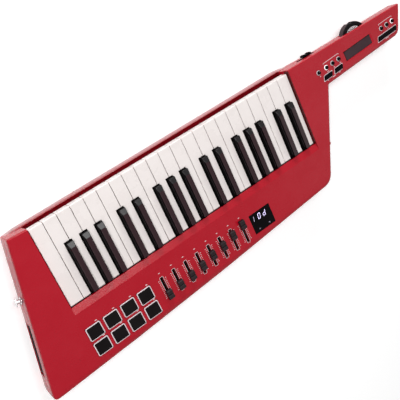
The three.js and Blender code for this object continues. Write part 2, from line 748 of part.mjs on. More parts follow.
// Lower shell: a tray with rounded lower edges, deep under the body and shallow under the neck.
function lowerShell() {
  const rear = -rearDepthAtTail - cutOverrun;
  const front = tipFrontReach + cutOverrun;
  const bodyTop = bodySeam - seatGap;
  const neckTop = neckSeam - seatGap;
  const bodyForm = solidOf(terrace([
    [bodyBottom, lowerEdgeRound],
    [bodyBottom + lowerEdgeMid, lowerEdgeRound / 2],
    [bodyBottom + lowerEdgeRound, lowerEdgeMid],
    [bodyTop, seamDraft],
  ]));
  const neckForm = solidOf(terrace([
    [neckBottom, lowerEdgeRound / 2],
    [neckBottom + lowerEdgeMid / 2, lowerEdgeRound / 4],
    [neckBottom + lowerEdgeMid, seamDraft],
    [neckTop, seamDraft / 2],
  ]));
  const bodyReach = blockBetween([-tailRearReach - cutOverrun, rear, bodyBottom - cutOverrun],
    [neckRampEnd, front, bodyTop]);
  const neckReach = blockBetween([openingEnd, rear, neckBottom - cutOverrun],
    [tipFrontPlace + cutOverrun, front, neckTop]);
  const body = cut(bodyForm.intersect(bodyReach), belowUnderside(0));
  const neck = neckForm.intersect(neckReach);
  const bodyHollow = solidOf(terrace([
    [bodyBottom + floorThickness, lowerEdgeRound + wall / 2],
    [bodyBottom + floorThickness + lowerEdgeMid, lowerEdgeMid + wall],
    [neckTop + cutOverrun, wallAtSeam],
  ])).intersect(blockBetween([-tailRearReach, rear, bodyBottom], [neckRampEnd, front, front]));
  const neckHollow = solidOf(terrace([
    [neckBottom + floorThickness, wallAtSeam],
    [neckTop + cutOverrun, wallAtSeam],
  ])).intersect(blockBetween([openingEnd, rear, neckBottom], [tipFrontPlace, front, front]));
  const endWall = blockBetween(
    [openingEnd, -keyLipToLip - openingWall, bodyBottom],
    [openingEnd + openingWall, tipFrontReach, neckTop + cutOverrun]);
  const hollow = cut(join(bodyHollow, neckHollow), belowUnderside(floorThickness), endWall);
  const bodyBosses = bosses(bodyBossPlaces, bodyBottom + floorThickness / 2, bodyTop);
  const neckBosses = bosses(neckBossPlaces, bodyBottom, neckTop)
    .map((boss) => cut(boss, belowUnderside(floorThickness / 2)));
  const axle = solidOf(pin(wheelPlace, -wheelSetback, wheelAxleRadius,
    neckBottom + floorThickness / 2, wheelTop, bossSteps * 2));
  const collar = solidOf(pin(wheelPlace, -wheelSetback, wheelAxleRadius * 2,
    neckBottom + floorThickness / 2, wheelTop - wheelThickness - seatGap, bossSteps * 2));
  const sliderSlot = blockBetween(
    [sliderPlace - (sliderTravel + sliderStemLength) / 2 - runGap, -neckLineDepth,
      sliderHeight - sliderSlotHeight / 2],
    [sliderPlace + (sliderTravel + sliderStemLength) / 2 + runGap, front,
      sliderHeight + sliderSlotHeight / 2]);
  const keyBay = blockBetween(
    [openingStart, -keyLipToLip, bodyBottom + floorThickness],
    [openingEnd, keyFrontGap, bodySeam + cutOverrun]);
  return cut(join(cut(join(body, neck), hollow), ...bodyBosses, ...neckBosses, axle, collar),
    ...screwSeats(bodyBossPlaces, bodyBottom), keyBay, sliderSlot, bayCutter(), wheelCutter(),
    strapHole(neckStrapFrame, neckStrapDrop));
}

// Key chassis: a folded tray that stands on the lower shell's floor, with the stop rail at the
// front and the grooved hinge rail at the back.
function keyChassis() {
  const legFoot = bodyBottom + floorThickness + seatGap;
  const railRear = -hingeRailRear;
  const stopTop = -keySkirtDepth - seatGap
    - (hingeSetback - stopRailSetback) * Math.sin(THREE.MathUtils.degToRad(keyTravelDegrees));
  const grooveRadius = knuckleRadius + seatGap;
  const stopRear = -stopRailSetback - stopRailDepth;
  const floorUnder = chassisFloor - chassisPlate;
  const shape = new THREE.Shape();
  shape.moveTo(-stopRailSetback, legFoot);
  shape.lineTo(-stopRailSetback, stopTop);
  shape.lineTo(stopRear, stopTop);
  shape.lineTo(stopRear, chassisFloor);
  shape.lineTo(-hingeSetback, chassisFloor);
  shape.lineTo(-hingeSetback, -hingeDrop - grooveRadius);
  shape.absarc(-hingeSetback, -hingeDrop, grooveRadius, -Math.PI / 2, Math.PI / 2, true);
  shape.lineTo(-hingeSetback, -hingeRailDrop);
  shape.lineTo(railRear, -hingeRailDrop);
  shape.lineTo(railRear, legFoot);
  shape.lineTo(railRear + chassisLeg, legFoot);
  shape.lineTo(railRear + chassisLeg, floorUnder);
  shape.lineTo(stopRear, floorUnder);
  shape.lineTo(stopRear, legFoot);
  return sideSlab(shape, chassisEndGap, keyboardLength - chassisEndGap);
}

// A key's side outline in Y and Z, from its front top edge back to the knuckle at its tail
function keySide(front, top, lipDepth) {
  const shape = new THREE.Shape();
  const half = Math.asin((hingeSetback - keyTailLength) / knuckleRadius);
  const rise = knuckleRadius * Math.cos(half);
  shape.moveTo(front, top - keyEdgeChamfer);
  shape.lineTo(front - keyEdgeChamfer, top);
  shape.lineTo(-keyTailLength, top);
  shape.lineTo(-keyTailLength, rise - hingeDrop);
  shape.absarc(-hingeSetback, -hingeDrop, knuckleRadius, Math.PI / 2 - half,
    half - Math.PI / 2, false);
  shape.lineTo(-keyTailLength, -keySkirtDepth);
  if (lipDepth > keySkirtDepth) {
    shape.lineTo(front - keyTopThickness, -keySkirtDepth);
    shape.lineTo(front - keyTopThickness, -lipDepth);
  }
  shape.lineTo(front, -lipDepth);
  return shape;
}

// The black keys' gaps and middles along the keyboard
const blackKeys = [];
for (let octave = 0; octave * whiteKeysPerOctave < whiteKeyCount; octave += 1) {
  octaveGapCounts.forEach((gap, i) => {
    const gapIndex = gap + octave * whiteKeysPerOctave;
    if (gapIndex < whiteKeyCount) {
      blackKeys.push({ gap: gapIndex, middle: (gapIndex + octaveShiftShares[i]) * whiteKeyPitch });
    }
  });
}

// White key: a thin moulded cap, narrowed behind its head where black keys stand beside it.
function whiteKey(index) {
  const start = index * whiteKeyPitch;
  const blackBefore = blackKeys.find((key) => key.gap === index);
  const blackAfter = blackKeys.find((key) => key.gap === index + 1);
  const reach = blackKeyWidth / 2 + blackKeySideGap;
  const low = keySideGap / 2;
  const high = whiteKeyPitch - keySideGap / 2;
  const shankLow = blackBefore ? blackBefore.middle + reach - start : low;
  const shankHigh = blackAfter ? blackAfter.middle - reach - start : high;
  const rear = -hingeSetback - knuckleRadius - cutOverrun;
  const under = -keyLipDepth - cutOverrun;
  const plain = solidOf(sideSlab(keySide(0, 0, keyLipDepth), low, high));
  const cutters = [
    blockBetween([low + keyWall, -keyHeadLength + keyWall, under],
      [high - keyWall, -keyTopThickness, -keyTopThickness]),
    blockBetween([shankLow + keyWall, -keyTailLength + knuckleRadius, under],
      [shankHigh - keyWall, -keyHeadLength - keyWall, -keyTopThickness]),
  ];
  if (blackBefore) {
    cutters.push(blockBetween([-cutOverrun, rear, under], [shankLow, -keyHeadLength, cutOverrun]));
  }
  if (blackAfter) {
    cutters.push(blockBetween([shankHigh, rear, under],
      [whiteKeyPitch + cutOverrun, -keyHeadLength, cutOverrun]));
  }
  return cut(plain, ...cutters);
}

// Black key: a tall cap with sloped sides and a sloped front, on a low shank that reaches back
// under the panel to the hinge.
function blackKey() {
  const ring = (width, front, height) => [
    [-width / 2, -blackKeyRear, height], [width / 2, -blackKeyRear, height],
    [width / 2, -front, height], [-width / 2, -front, height],
  ];
  const cap = stack([
    ring(blackKeyWidth, blackKeyFront, -keySkirtDepth),
    ring(blackKeyShoulderWidth, blackKeyFront, blackKeyShoulderHeight),
    ring(blackKeyTopWidth, blackKeyFront + blackKeySlopeLength, blackKeyHeight),
  ]);
  const shankFront = -blackKeyRear + blackKeySlopeLength;
  const shankHalf = blackKeyShoulderWidth / 2;
  const shank = solidOf(sideSlab(keySide(shankFront, 0, keySkirtDepth), -shankHalf, shankHalf));
  const hollow = blockBetween(
    [-shankHalf + keyWall, -keyTailLength + knuckleRadius, -keySkirtDepth - cutOverrun],
    [shankHalf - keyWall, -blackKeyFront - keyWall, -keyTopThickness]);
  return cut(join(solidOf(cap), shank), hollow);
}

// Fader: a cap with a finger dip and a groove across its middle, on a flat stem that reaches down
// into the well of its slide control.
function fader() {
  const half = faderCapLength / 2;
  const grooveHalf = faderGrooveWidth / 2;
  const dipHeight = faderCapHeight - faderCapDip;
  const cap = solidOf(sideSlab(sideShape([
    [half, faderCapLift],
    [half, faderCapHeight / 2],
    [half - faderCapDip, faderCapHeight - faderCapDip],
    [half - 3 * faderCapDip, faderCapHeight],
    [grooveHalf, dipHeight],
    [grooveHalf / 2, dipHeight - faderGrooveDepth],
    [-grooveHalf / 2, dipHeight - faderGrooveDepth],
    [-grooveHalf, dipHeight],
    [3 * faderCapDip - half, faderCapHeight],
    [faderCapDip - half, faderCapHeight - faderCapDip],
    [-half, faderCapHeight / 2],
    [-half, faderCapLift],
  ]), -faderCapWidth / 2, faderCapWidth / 2));
  const footHeight = controlBoardTop + slideControlHeight - slideControlWell + seatGap - panelTop;
  const stem = blockBetween([-faderStemWidth / 2, -faderStemLength / 2, footHeight],
    [faderStemWidth / 2, faderStemLength / 2, faderCapHeight / 2]);
  return join(cap, stem);
}

// Control board: a stepped circuit board under the panel that carries the eight slide controls.
function controlBoard() {
  const plate = solidOf(slab([
    [boardTailPlace, -boardPadRearDepth],
    [boardStepPlace, -boardPadRearDepth],
    [boardStepPlace, -boardRearDepth],
    [boardNeckPlace, -boardRearDepth],
    [boardNeckPlace, -boardFrontDepth],
    [boardTailPlace, -boardFrontDepth],
  ], controlBoardTop - boardThickness, controlBoardTop));
  const pieces = [];
  const wells = [];
  for (let i = 0; i < faderCount; i += 1) {
    const x = faderPlace(i);
    const halfWidth = slideControlWidth / 2;
    const halfLength = slideControlLength / 2;
    const wellWidth = faderStemWidth / 2 + seatGap;
    const wellLength = (faderTravel + faderStemLength) / 2 + runGap;
    const top = controlBoardTop + slideControlHeight;
    pieces.push(blockBetween(
      [x - halfWidth, -faderSlotMiddle - halfLength, controlBoardTop - boardThickness / 2],
      [x + halfWidth, -faderSlotMiddle + halfLength, top]));
    wells.push(blockBetween(
      [x - wellWidth, -faderSlotMiddle - wellLength, top - slideControlWell],
      [x + wellWidth, -faderSlotMiddle + wellLength, top + cutOverrun]));
  }
  const displayHalf = displayWidth / 2 - 2 * displayLedge;
  pieces.push(blockBetween(
    [displayPlace - displayHalf, -displayDepthPlace - displayDepth / 2 + 2 * displayLedge,
      controlBoardTop - boardThickness / 2],
    [displayPlace + displayHalf, -displayDepthPlace + displayDepth / 2 - 2 * displayLedge,
      panelTop - displaySink - displayThickness - seatGap]));
  return cut(join(plate, ...pieces), ...wells);
}

// Pad mat: one rubber sheet on the control board, with a framed pad under each window.
function padMat() {
  const bottom = controlBoardTop + seatGap;
  const [firstX, firstY] = padPlace(0, 0);
  const [lastX, lastY] = padPlace(padColumns - 1, padRows - 1);
  const halfWidth = padFrameWidth / 2;
  const halfDepth = padFrameDepth / 2;
  const sheet = blockBetween(
    [firstX - halfWidth - padMatMargin, lastY - halfDepth - padMatMargin, bottom],
    [lastX + halfWidth + padMatMargin, firstY + halfDepth + padMatMargin, bottom + padMatThickness]);
  const pads = [];
  for (let column = 0; column < padColumns; column += 1) {
    for (let row = 0; row < padRows; row += 1) {
      const [x, y] = padPlace(column, row);
      pads.push(blockBetween([x - halfWidth, y - halfDepth, bottom],
        [x + halfWidth, y + halfDepth, panelTop - padFrameDrop]));
      pads.push(blockBetween([x - padWidth / 2, y - padDepth / 2, bottom],
        [x + padWidth / 2, y + padDepth / 2, panelTop + padRise]));
    }
  }
  return join(sheet, ...pads);
}

// Neck board: a narrow circuit board under the neck's panel with the light rings, the round
// buttons and the touch sensor.
function neckBoard() {
  const plate = blockBetween([neckBoardStart, -neckBoardRear, neckBoardTop - boardThickness],
    [neckBoardEnd, neckBoardFront, neckBoardTop]);
  const buttons = roundButtonPlaces.flatMap((place) => [
    solidOf(pin(place, 0, roundButtonRing / 2 - seatGap, neckBoardTop - boardThickness / 2,
      panelTop - ringSink, roundSteps)),
    solidOf(pin(place, 0, roundButtonDiameter / 2, neckBoardTop - boardThickness / 2,
      panelTop + roundButtonRise, roundSteps)),
  ]);
  const sensor = blockBetween(
    [touchStripPlace - touchStripLength / 2, -touchStripSetback - touchStripDepth / 2,
      neckBoardTop - boardThickness / 2],
    [touchStripPlace + touchStripLength / 2, -touchStripSetback + touchStripDepth / 2,
      panelTop - touchStripSink]);
  return join(plate, ...buttons, sensor);
}

// Slanted button: a cap through the panel with a flange that holds it under the panel.
function slantedButton(width) {
  const cap = solidOf(slab(leaningOutline(width, slantedButtonDepth, 0),
    panelUnder - seatGap - buttonFlangeThickness, panelTop + slantedButtonRise));
  const flange = solidOf(slab(leaningOutline(width, slantedButtonDepth, buttonFlange),
    panelUnder - seatGap - buttonFlangeThickness, panelUnder - seatGap));
  return join(cap, flange);
}

// Modulation slider: a ridged cap outside the neck's front wall, a stem through the slot and a
// foot behind the wall.
function slider() {
  const faceY = tipFrontReach;
  const innerY = cheekFrontReach - wallAtSeam;
  const outerY = faceY + sliderCapReach;
  const half = sliderCapLength / 2;
  const capHalf = sliderCapHeight / 2;
  const cap = solidOf(slab([
    [-half, faceY + seatGap],
    [half, faceY + seatGap],
    [half, outerY - faderCapDip],
    [half - 2 * faderCapDip, outerY],
    [faderGrooveWidth, outerY - faderCapDip],
    [-faderGrooveWidth, outerY - faderCapDip],
    [2 * faderCapDip - half, outerY],
    [-half, outerY - faderCapDip],
  ], -capHalf, capHalf));
  const stemHalf = sliderStemLength / 2;
  const slotHalf = sliderSlotHeight / 2 - seatGap;
  const footTop = innerY - seatGap;
  const stem = blockBetween([-stemHalf, footTop - sliderFootThickness, -slotHalf],
    [stemHalf, outerY - 2 * faderCapDip, slotHalf]);
  const foot = blockBetween([-stemHalf, footTop - sliderFootThickness, -sliderFootHeight / 2],
    [stemHalf, footTop, sliderFootHeight / 2]);
  return join(cap, stem, foot);
}

// Pitch wheel: a rubber rim on a thinner hub, with a finger notch that faces out at rest.
function pitchWheel() {
  const half = wheelThickness / 2;
  const hubHalf = half - wheelHubSink;
  const hubRadius = wheelRadius - wheelRimWidth;
  const profile = [
    [wheelBoreRadius, -hubHalf],
    [hubRadius, -hubHalf],
    [hubRadius + wheelRimRound / 2, -half],
    [wheelRadius - wheelRimRound, -half],
    [wheelRadius, wheelRimRound - half],
    [wheelRadius, half - wheelRimRound],
    [wheelRadius - wheelRimRound, half],
    [hubRadius + wheelRimRound / 2, half],
    [hubRadius, hubHalf],
    [wheelBoreRadius, hubHalf],
    [wheelBoreRadius, -hubHalf],
  ].map(([radius, height]) => new THREE.Vector2(radius, height));
  const rim = new THREE.LatheGeometry(profile, wheelSteps);
  rim.rotateX(Math.PI / 2);
  const notch = pin(0, wheelRadius + wheelNotchRadius - wheelNotchDepth, wheelNotchRadius,
    -wheelThickness, wheelThickness, roundSteps);
  return cut(solidOf(rim), solidOf(notch));
}

// Strap button: a turned steel knob with its screw, which runs through the casing's wall.
function strapButton() {
  const profile = [
    [0, -strapScrewLength],
    [strapScrewRadius, -strapScrewLength],
    [strapScrewRadius, seatGap],
    [strapFlangeRadius, seatGap],
    [strapFlangeRadius, strapFlangeThickness],
    [strapNeckRadius, strapFlangeThickness + strapHeadThickness / 2],
    [strapNeckRadius, strapButtonReach - strapHeadThickness],
    [strapHeadRadius, strapButtonReach - strapHeadThickness],
    [strapHeadRadius, strapButtonReach - strapHeadThickness / 2],
    [strapHeadRadius - strapHeadThickness / 2, strapButtonReach],
    [0, strapButtonReach],
  ].map(([radius, height]) => new THREE.Vector2(radius, height));
  const knob = new THREE.LatheGeometry(profile, strapSteps);
  knob.rotateX(Math.PI);
  return knob;
}

// Jack panel: a moulded cup in the bay, with the sockets in its back wall.
function jackPanel() {
  const low = [seatGap, -seatGap, bayFloor + seatGap];
  const high = [bayLength - seatGap, bayDepth - seatGap, bayTop - seatGap];
  const startY = wallAtSeam;
  const cup = blockBetween([low[0], startY, low[2]], high);
  const hollow = blockBetween(
    [low[0] + bayWall, -cutOverrun, low[2] + bayWall],
    [high[0] - bayWall, high[1] - bayWall, high[2] - bayWall]);
  const middle = (low[2] + high[2]) / 2;
  const back = high[1] - bayWall;
  const across = (x, radius, near, far) => {
    const geometry = new THREE.CylinderGeometry(radius, radius, far - near, roundSteps);
    geometry.translate(x, (near + far) / 2, middle);
    return solidOf(geometry);
  };
  const through = high[1] + cutOverrun;
  const nuts = [
    across(phoneJackPlace, phoneJackNutRadius, back - jackNutReach, back + bayWall / 2),
    across(dinJackPlace, dinJackRadius, back - jackReach, back + bayWall / 2),
    blockBetween(
      [usbJackPlace - usbJackWidth / 2, back - jackReach, middle - usbJackHeight / 2],
      [usbJackPlace + usbJackWidth / 2, back + bayWall / 2, middle + usbJackHeight / 2]),
    across(powerJackPlace, powerJackRadius, back - jackReach, back + bayWall / 2),
  ];
  const bores = [
    across(phoneJackPlace, phoneJackBoreRadius, -cutOverrun, through),
    across(dinJackPlace, dinJackBoreRadius, -cutOverrun, through),
    blockBetween(
      [usbJackPlace - usbJackWidth / 2 + usbShellWall, -cutOverrun,
        middle - usbJackHeight / 2 + usbShellWall],
      [usbJackPlace + usbJackWidth / 2 - usbShellWall, through,
        middle + usbJackHeight / 2 - usbShellWall]),
    across(powerJackPlace, powerJackBoreRadius, -cutOverrun, through),
  ];
  return cut(join(cut(cup, hollow), ...nuts), ...bores);
}

addPiece(keytar, 'upper_shell', geometryOf(upperShell()), redGloss);
addPiece(keytar, 'lower_shell', geometryOf(lowerShell()), redGloss);
addPiece(keytar, 'key_chassis', keyChassis(), steel);
addPiece(keytar, 'control_board', geometryOf(controlBoard()), boardGreen);
addPiece(keytar, 'pad_mat', geometryOf(padMat()), padRubber);

for (let i = 0; i < whiteKeyCount; i += 1) {
  const name = `white_key_${String(i + 1).padStart(2, '0')}`;
  addPiece(keytar, name, geometryOf(whiteKey(i)), keyWhite, [i * whiteKeyPitch, 0, 0]);
}

const blackKeyGeometry = geometryOf(blackKey());
blackKeys.forEach(({ middle }, i) => {
  const name = `black_key_${String(i + 1).padStart(2, '0')}`;
  addPiece(keytar, name, blackKeyGeometry, keyBlack, [middle, 0, 0]);
});

const faderGeometry = geometryOf(fader());
faderRestShares.forEach((share, i) => {
  const place = [faderPlace(i), -faderSlotMiddle + share * faderTravel, panelTop];
  addPiece(keytar, `fader_${i + 1}`, faderGeometry, darkPlastic, place);
});

const glassBottom = panelTop - displaySink - displayThickness;
addPiece(keytar, 'display_window', boxBetween(
  [displayPlace - displayWidth / 2 + seatGap, -displayDepthPlace - displayDepth / 2 + seatGap,
    glassBottom],
  [displayPlace + displayWidth / 2 - seatGap, -displayDepthPlace + displayDepth / 2 - seatGap,
    panelTop - displaySink]), darkGlass);

addPiece(neckControls, 'neck_board', geometryOf(neckBoard()), darkPlastic);
slantedButtons.forEach(([name, place, width]) => {
  addPiece(neckControls, name, geometryOf(slantedButton(width)), darkPlastic,
    [place, -slantedButtonSetback, 0]);
});

addPiece(keytar, 'mod_slider', geometryOf(slider()), darkPlastic,
  [sliderPlace + sliderRestOffset, 0, sliderHeight]);
addPiece(keytar, 'pitch_wheel', geometryOf(pitchWheel()), darkPlastic,
  [wheelPlace, -wheelSetback, wheelTop - wheelThickness / 2]);

// Pieces that follow a wall stand in a group turned to that wall
function wallGroup(frame) {
  const group = new THREE.Group();
  group.applyMatrix4(frame);
  keytar.add(group);
  return group;
}

addPiece(wallGroup(bayFrame), 'jack_panel', geometryOf(jackPanel()), darkPlastic);
addPiece(wallGroup(tailStrapFrame), 'strap_button_tail', strapButton(), steel,
  [0, 0, panelTop - tailStrapDrop]);
addPiece(wallGroup(neckStrapFrame), 'strap_button_neck', strapButton(), steel,
  [0, 0, panelTop - neckStrapDrop]);

// The origin goes under the middle of the whole object, on the surface that it lies on
keytar.updateMatrixWorld(true);
const reach = new THREE.Box3().setFromObject(keytar, true);
const middle = reach.getCenter(new THREE.Vector3());
keytar.position.set(-middle.x, -middle.y, -reach.min.z);

export default keytar;
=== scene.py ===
import json
import math

import bmesh
import bpy
import numpy as np
from mathutils import Matrix, Vector


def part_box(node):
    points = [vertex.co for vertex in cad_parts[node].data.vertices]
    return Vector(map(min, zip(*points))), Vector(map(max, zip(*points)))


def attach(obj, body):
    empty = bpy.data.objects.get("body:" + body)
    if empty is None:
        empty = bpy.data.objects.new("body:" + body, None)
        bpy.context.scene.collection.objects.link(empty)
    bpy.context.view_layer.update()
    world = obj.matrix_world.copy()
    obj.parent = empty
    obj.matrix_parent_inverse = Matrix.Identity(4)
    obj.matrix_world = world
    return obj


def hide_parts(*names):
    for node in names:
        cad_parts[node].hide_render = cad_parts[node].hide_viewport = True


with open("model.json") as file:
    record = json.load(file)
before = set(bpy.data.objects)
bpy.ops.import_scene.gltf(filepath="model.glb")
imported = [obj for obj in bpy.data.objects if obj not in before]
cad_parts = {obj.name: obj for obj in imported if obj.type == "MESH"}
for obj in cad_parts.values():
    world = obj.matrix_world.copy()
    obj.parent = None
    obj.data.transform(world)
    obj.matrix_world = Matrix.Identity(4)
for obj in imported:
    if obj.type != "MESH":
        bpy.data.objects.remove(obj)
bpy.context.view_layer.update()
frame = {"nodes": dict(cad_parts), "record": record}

# The photograph's view: down on the panel from over the tail, with the neck running away to the
# upper right, through a short telephoto lens.
CAMERA_PLACE = (-0.560322, 0.376766, 1.042097)
LOOK_RIGHT = Vector((0.76384036, -0.40067023, 0.50597556))
LOOK_UP = Vector((0.50484176, 0.85934307, -0.08163502))
camera_data = bpy.data.cameras.new("photo_camera")
camera_data.sensor_width = 36
camera_data.lens = 64.308
camera_data.clip_start = 0.05
camera_data.clip_end = 60
camera = bpy.data.objects.new("photo_camera", camera_data)
bpy.context.scene.collection.objects.link(camera)
look_back = LOOK_RIGHT.cross(LOOK_UP).normalized()
camera.matrix_world = Matrix.Translation(CAMERA_PLACE) @ Matrix(
    (LOOK_RIGHT, LOOK_UP, look_back)).transposed().to_4x4()
bpy.context.scene.camera = camera
bpy.context.scene.view_settings.view_transform = "Standard"


# Upper and lower shell: two glossy red plastic mouldings, screwed together from below, that meet
# in a seam round the side. The upper one is the panel with its rounded rear edge, and the lower
# one is the back with the battery door.
def number_group(name, inputs, outputs):
    """A new shader node group of numbers: its inputs are named with their defaults, and its
    outputs are named. Gives the group, the values that come in and the sockets that go out."""
    group = bpy.data.node_groups.new(name, "ShaderNodeTree")
    for socket, value in inputs.items():
        group.interface.new_socket(name=socket, in_out="INPUT",
                                   socket_type="NodeSocketFloat").default_value = value
    for socket in outputs:
        group.interface.new_socket(name=socket, in_out="OUTPUT", socket_type="NodeSocketFloat")
    return (group, group.nodes.new("NodeGroupInput").outputs,
            group.nodes.new("NodeGroupOutput").inputs)


def set_inputs(node, values):
    """Sets a node's own inputs, which are given by their names, to constants."""
    for socket, value in values.items():
        node.inputs[socket].default_value = value


def use_group(tree, group, values):
    """The outputs of a node group in a tree, with some of its inputs set to numbers."""
    node = tree.nodes.new("ShaderNodeGroup")
    node.node_tree = group
    set_inputs(node, values)
    return node.outputs


def worked(tree, operation, *values, clamped=False):
    """The output of a math node for its sockets or numbers, kept between 0 and 1 if clamped."""
    node = tree.nodes.new("ShaderNodeMath")
    node.operation = operation
    node.use_clamp = clamped
    for socket, value in zip(node.inputs, values):
        if isinstance(value, bpy.types.NodeSocket):
            tree.links.new(value, socket)
        else:
            socket.default_value = value
    return node.outputs[0]


def spread(tree, value, low, high, to_low=0.0, to_high=1.0):
    """How far a value has come from low to high, kept between 0 and 1, as the same share of the
    way from to_low to to_high."""
    node = tree.nodes.new("ShaderNodeMapRange")
    set_inputs(node, {"From Min": low, "From Max": high, "To Min": to_low, "To Max": to_high})
    tree.links.new(value, node.inputs["Value"])
    return node.outputs["Result"]


def object_axes(tree):
    """The X, Y and Z of the Object coordinates."""
    place = tree.nodes.new("ShaderNodeTexCoord")
    axes = tree.nodes.new("ShaderNodeSeparateXYZ")
    tree.links.new(place.outputs["Object"], axes.inputs["Vector"])
    return axes.outputs


def moulding_grain_group():
    """The surface of a moulding. Height is fine noise plus slow waviness times its share, and
    Handling is a broad noise stretched to run from 0, untouched, to 1, polished by hands."""
    group, given, made = number_group("moulding_grain", {"Grain Size": 1400.0, "Waviness": 0.5},
                                      ["Height", "Handling"])
    place = group.nodes.new("ShaderNodeTexCoord")

    def noise(**settings):
        """A noise over the Object coordinates, with its sockets set by their names."""
        texture = group.nodes.new("ShaderNodeTexNoise")
        set_inputs(texture, settings)
        group.links.new(place.outputs["Object"], texture.inputs["Vector"])
        return texture

    fine = noise(Detail=2.0)
    wave = noise(Scale=45.0, Detail=1.0)
    hand = noise(Scale=22.0, Detail=5.0, Roughness=0.65)
    group.links.new(given["Grain Size"], fine.inputs["Scale"])
    height = worked(group, "MULTIPLY_ADD", wave.outputs["Fac"], given["Waviness"],
                    fine.outputs["Fac"])
    group.links.new(height, made["Height"])
    handling = spread(group, hand.outputs["Fac"], low=0.38, high=0.66)
    group.links.new(handling, made["Handling"])
    return group


moulding_grain = moulding_grain_group()


def moulded(name, colour, handled, roughness, polished, grain_size=900.0, grain_depth=0.00003,
            specular=0.5, metallic=0.0):
    """A moulded or turned finish. Its colour runs from colour to handled, and its roughness from
    roughness to polished, as the Handling mask rises from 0 to 1. The grain's size is about the
    number of grains along a metre, and its depth is in metres."""
    material = bpy.data.materials.new(name)
    material.use_nodes = True
    tree = material.node_tree
    shader = tree.nodes["Principled BSDF"]
    grain = use_group(tree, moulding_grain, {"Grain Size": grain_size})
    tint = tree.nodes.new("ShaderNodeMix")
    tint.data_type = "RGBA"
    set_inputs(tint, {"A": (*colour, 1), "B": (*handled, 1)})
    shine = spread(tree, grain["Handling"], low=0, high=1, to_low=roughness, to_high=polished)
    bump = tree.nodes.new("ShaderNodeBump")
    bump.name = "surface_bump"
    set_inputs(bump, {"Strength": 0.35, "Distance": grain_depth})
    tree.links.new(grain["Handling"], tint.inputs["Factor"])
    tree.links.new(tint.outputs["Result"], shader.inputs["Base Color"])
    tree.links.new(shine, shader.inputs["Roughness"])
    tree.links.new(grain["Height"], bump.inputs["Height"])
    tree.links.new(bump.outputs["Normal"], shader.inputs["Normal"])
    set_inputs(shader, {"Specular IOR Level": specular, "Metallic": metallic})
    return material


def paint_where(material, mask, colour):
    """Colours a finish where a mask is 1: its colour so far and the new one mixed by the mask."""
    tree = material.node_tree
    base = tree.nodes["Principled BSDF"].inputs["Base Color"]
    over = tree.nodes.new("ShaderNodeMix")
    over.data_type = "RGBA"
    over.inputs["B"].default_value = (*colour, 1)
    tree.links.new(mask, over.inputs["Factor"])
    tree.links.new(base.links[0].from_socket, over.inputs["A"])
    tree.links.new(over.outputs["Result"], base)


def emboss(material, operation, *before, after=()):
    """Changes the height that a finish's bump reads, to the outcome of a math operation on the
    values before it, the height so far and the values after it."""
    tree = material.node_tree
    height = tree.nodes["surface_bump"].inputs["Height"]
    tree.links.new(worked(tree, operation, *before, height.links[0].from_socket, *after), height)


MERGE_WITHIN = 2e-6  # metres
FLAT_WITHIN = math.radians(0.6)


def eased_copy(node, name, width, segments, angle):
    """A copy of a CAD node with its loose triangles merged and its flat areas joined. Each edge
    sharper than the angle is rounded by the width times a share, which is the length of the
    shortest edge at its two ends over three widths, and at most 1. A smooth corner's normal is
    that of its faces weighed by their areas, so that flat faces stay flat in the light."""
    body = bmesh.new()
    body.from_mesh(frame["nodes"][node].data)
    bmesh.ops.remove_doubles(body, verts=body.verts, dist=MERGE_WITHIN)
    bmesh.ops.dissolve_limit(body, angle_limit=FLAT_WITHIN, verts=body.verts, edges=body.edges)
    mesh = bpy.data.meshes.new(name)
    body.to_mesh(mesh)
    body.free()
    mesh.shade_smooth()
    mesh.set_sharp_from_angle(angle=math.radians(angle))
    ends = np.empty((len(mesh.edges), 2), np.int32)
    mesh.edges.foreach_get("vertices", ends.ravel())
    places = np.empty((len(mesh.vertices), 3), np.float32)
    mesh.vertices.foreach_get("co", places.ravel())
    sharp = np.empty(len(mesh.edges), bool)
    mesh.attributes["sharp_edge"].data.foreach_get("value", sharp)
    lengths = np.linalg.norm(places[ends[:, 0]] - places[ends[:, 1]], axis=1)
    shortest = np.full(len(places), np.inf)
    np.minimum.at(shortest, ends.ravel(), np.repeat(lengths, 2))
    share = np.clip(shortest[ends].min(1) / (3 * width), 0, 1) * sharp
    weight = mesh.attributes.new("bevel_weight_edge", "FLOAT", "EDGE")
    weight.data.foreach_set("value", share.astype(np.float32))
    piece = bpy.data.objects.new(name, mesh)
    bpy.context.scene.collection.objects.link(piece)
    ease = piece.modifiers.new("eased_edges", "BEVEL")
    ease.width = width
    ease.segments = segments
    ease.limit_method = "WEIGHT"
    ease.use_clamp_overlap = False
    flats = piece.modifiers.new("flat_faces", "WEIGHTED_NORMAL")
    flats.mode = "FACE_AREA"
    flats.weight = 100
    flats.keep_sharp = True
    return piece


body_of_node = {node: body for body, nodes in frame["record"]["behaviour"]["bodies"].items()
                for node in nodes}


def dress(node, name, material, width, segments=2, angle=30):
    """Puts an eased copy in its CAD node's place, on the same body. The width, in metres, the
    segments and the angle, in degrees, are those of its rounded edges."""
    piece = eased_copy(node, name, width, segments, angle)
    piece.data.materials.append(material)
    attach(piece, body_of_node[node])
    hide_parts(node)


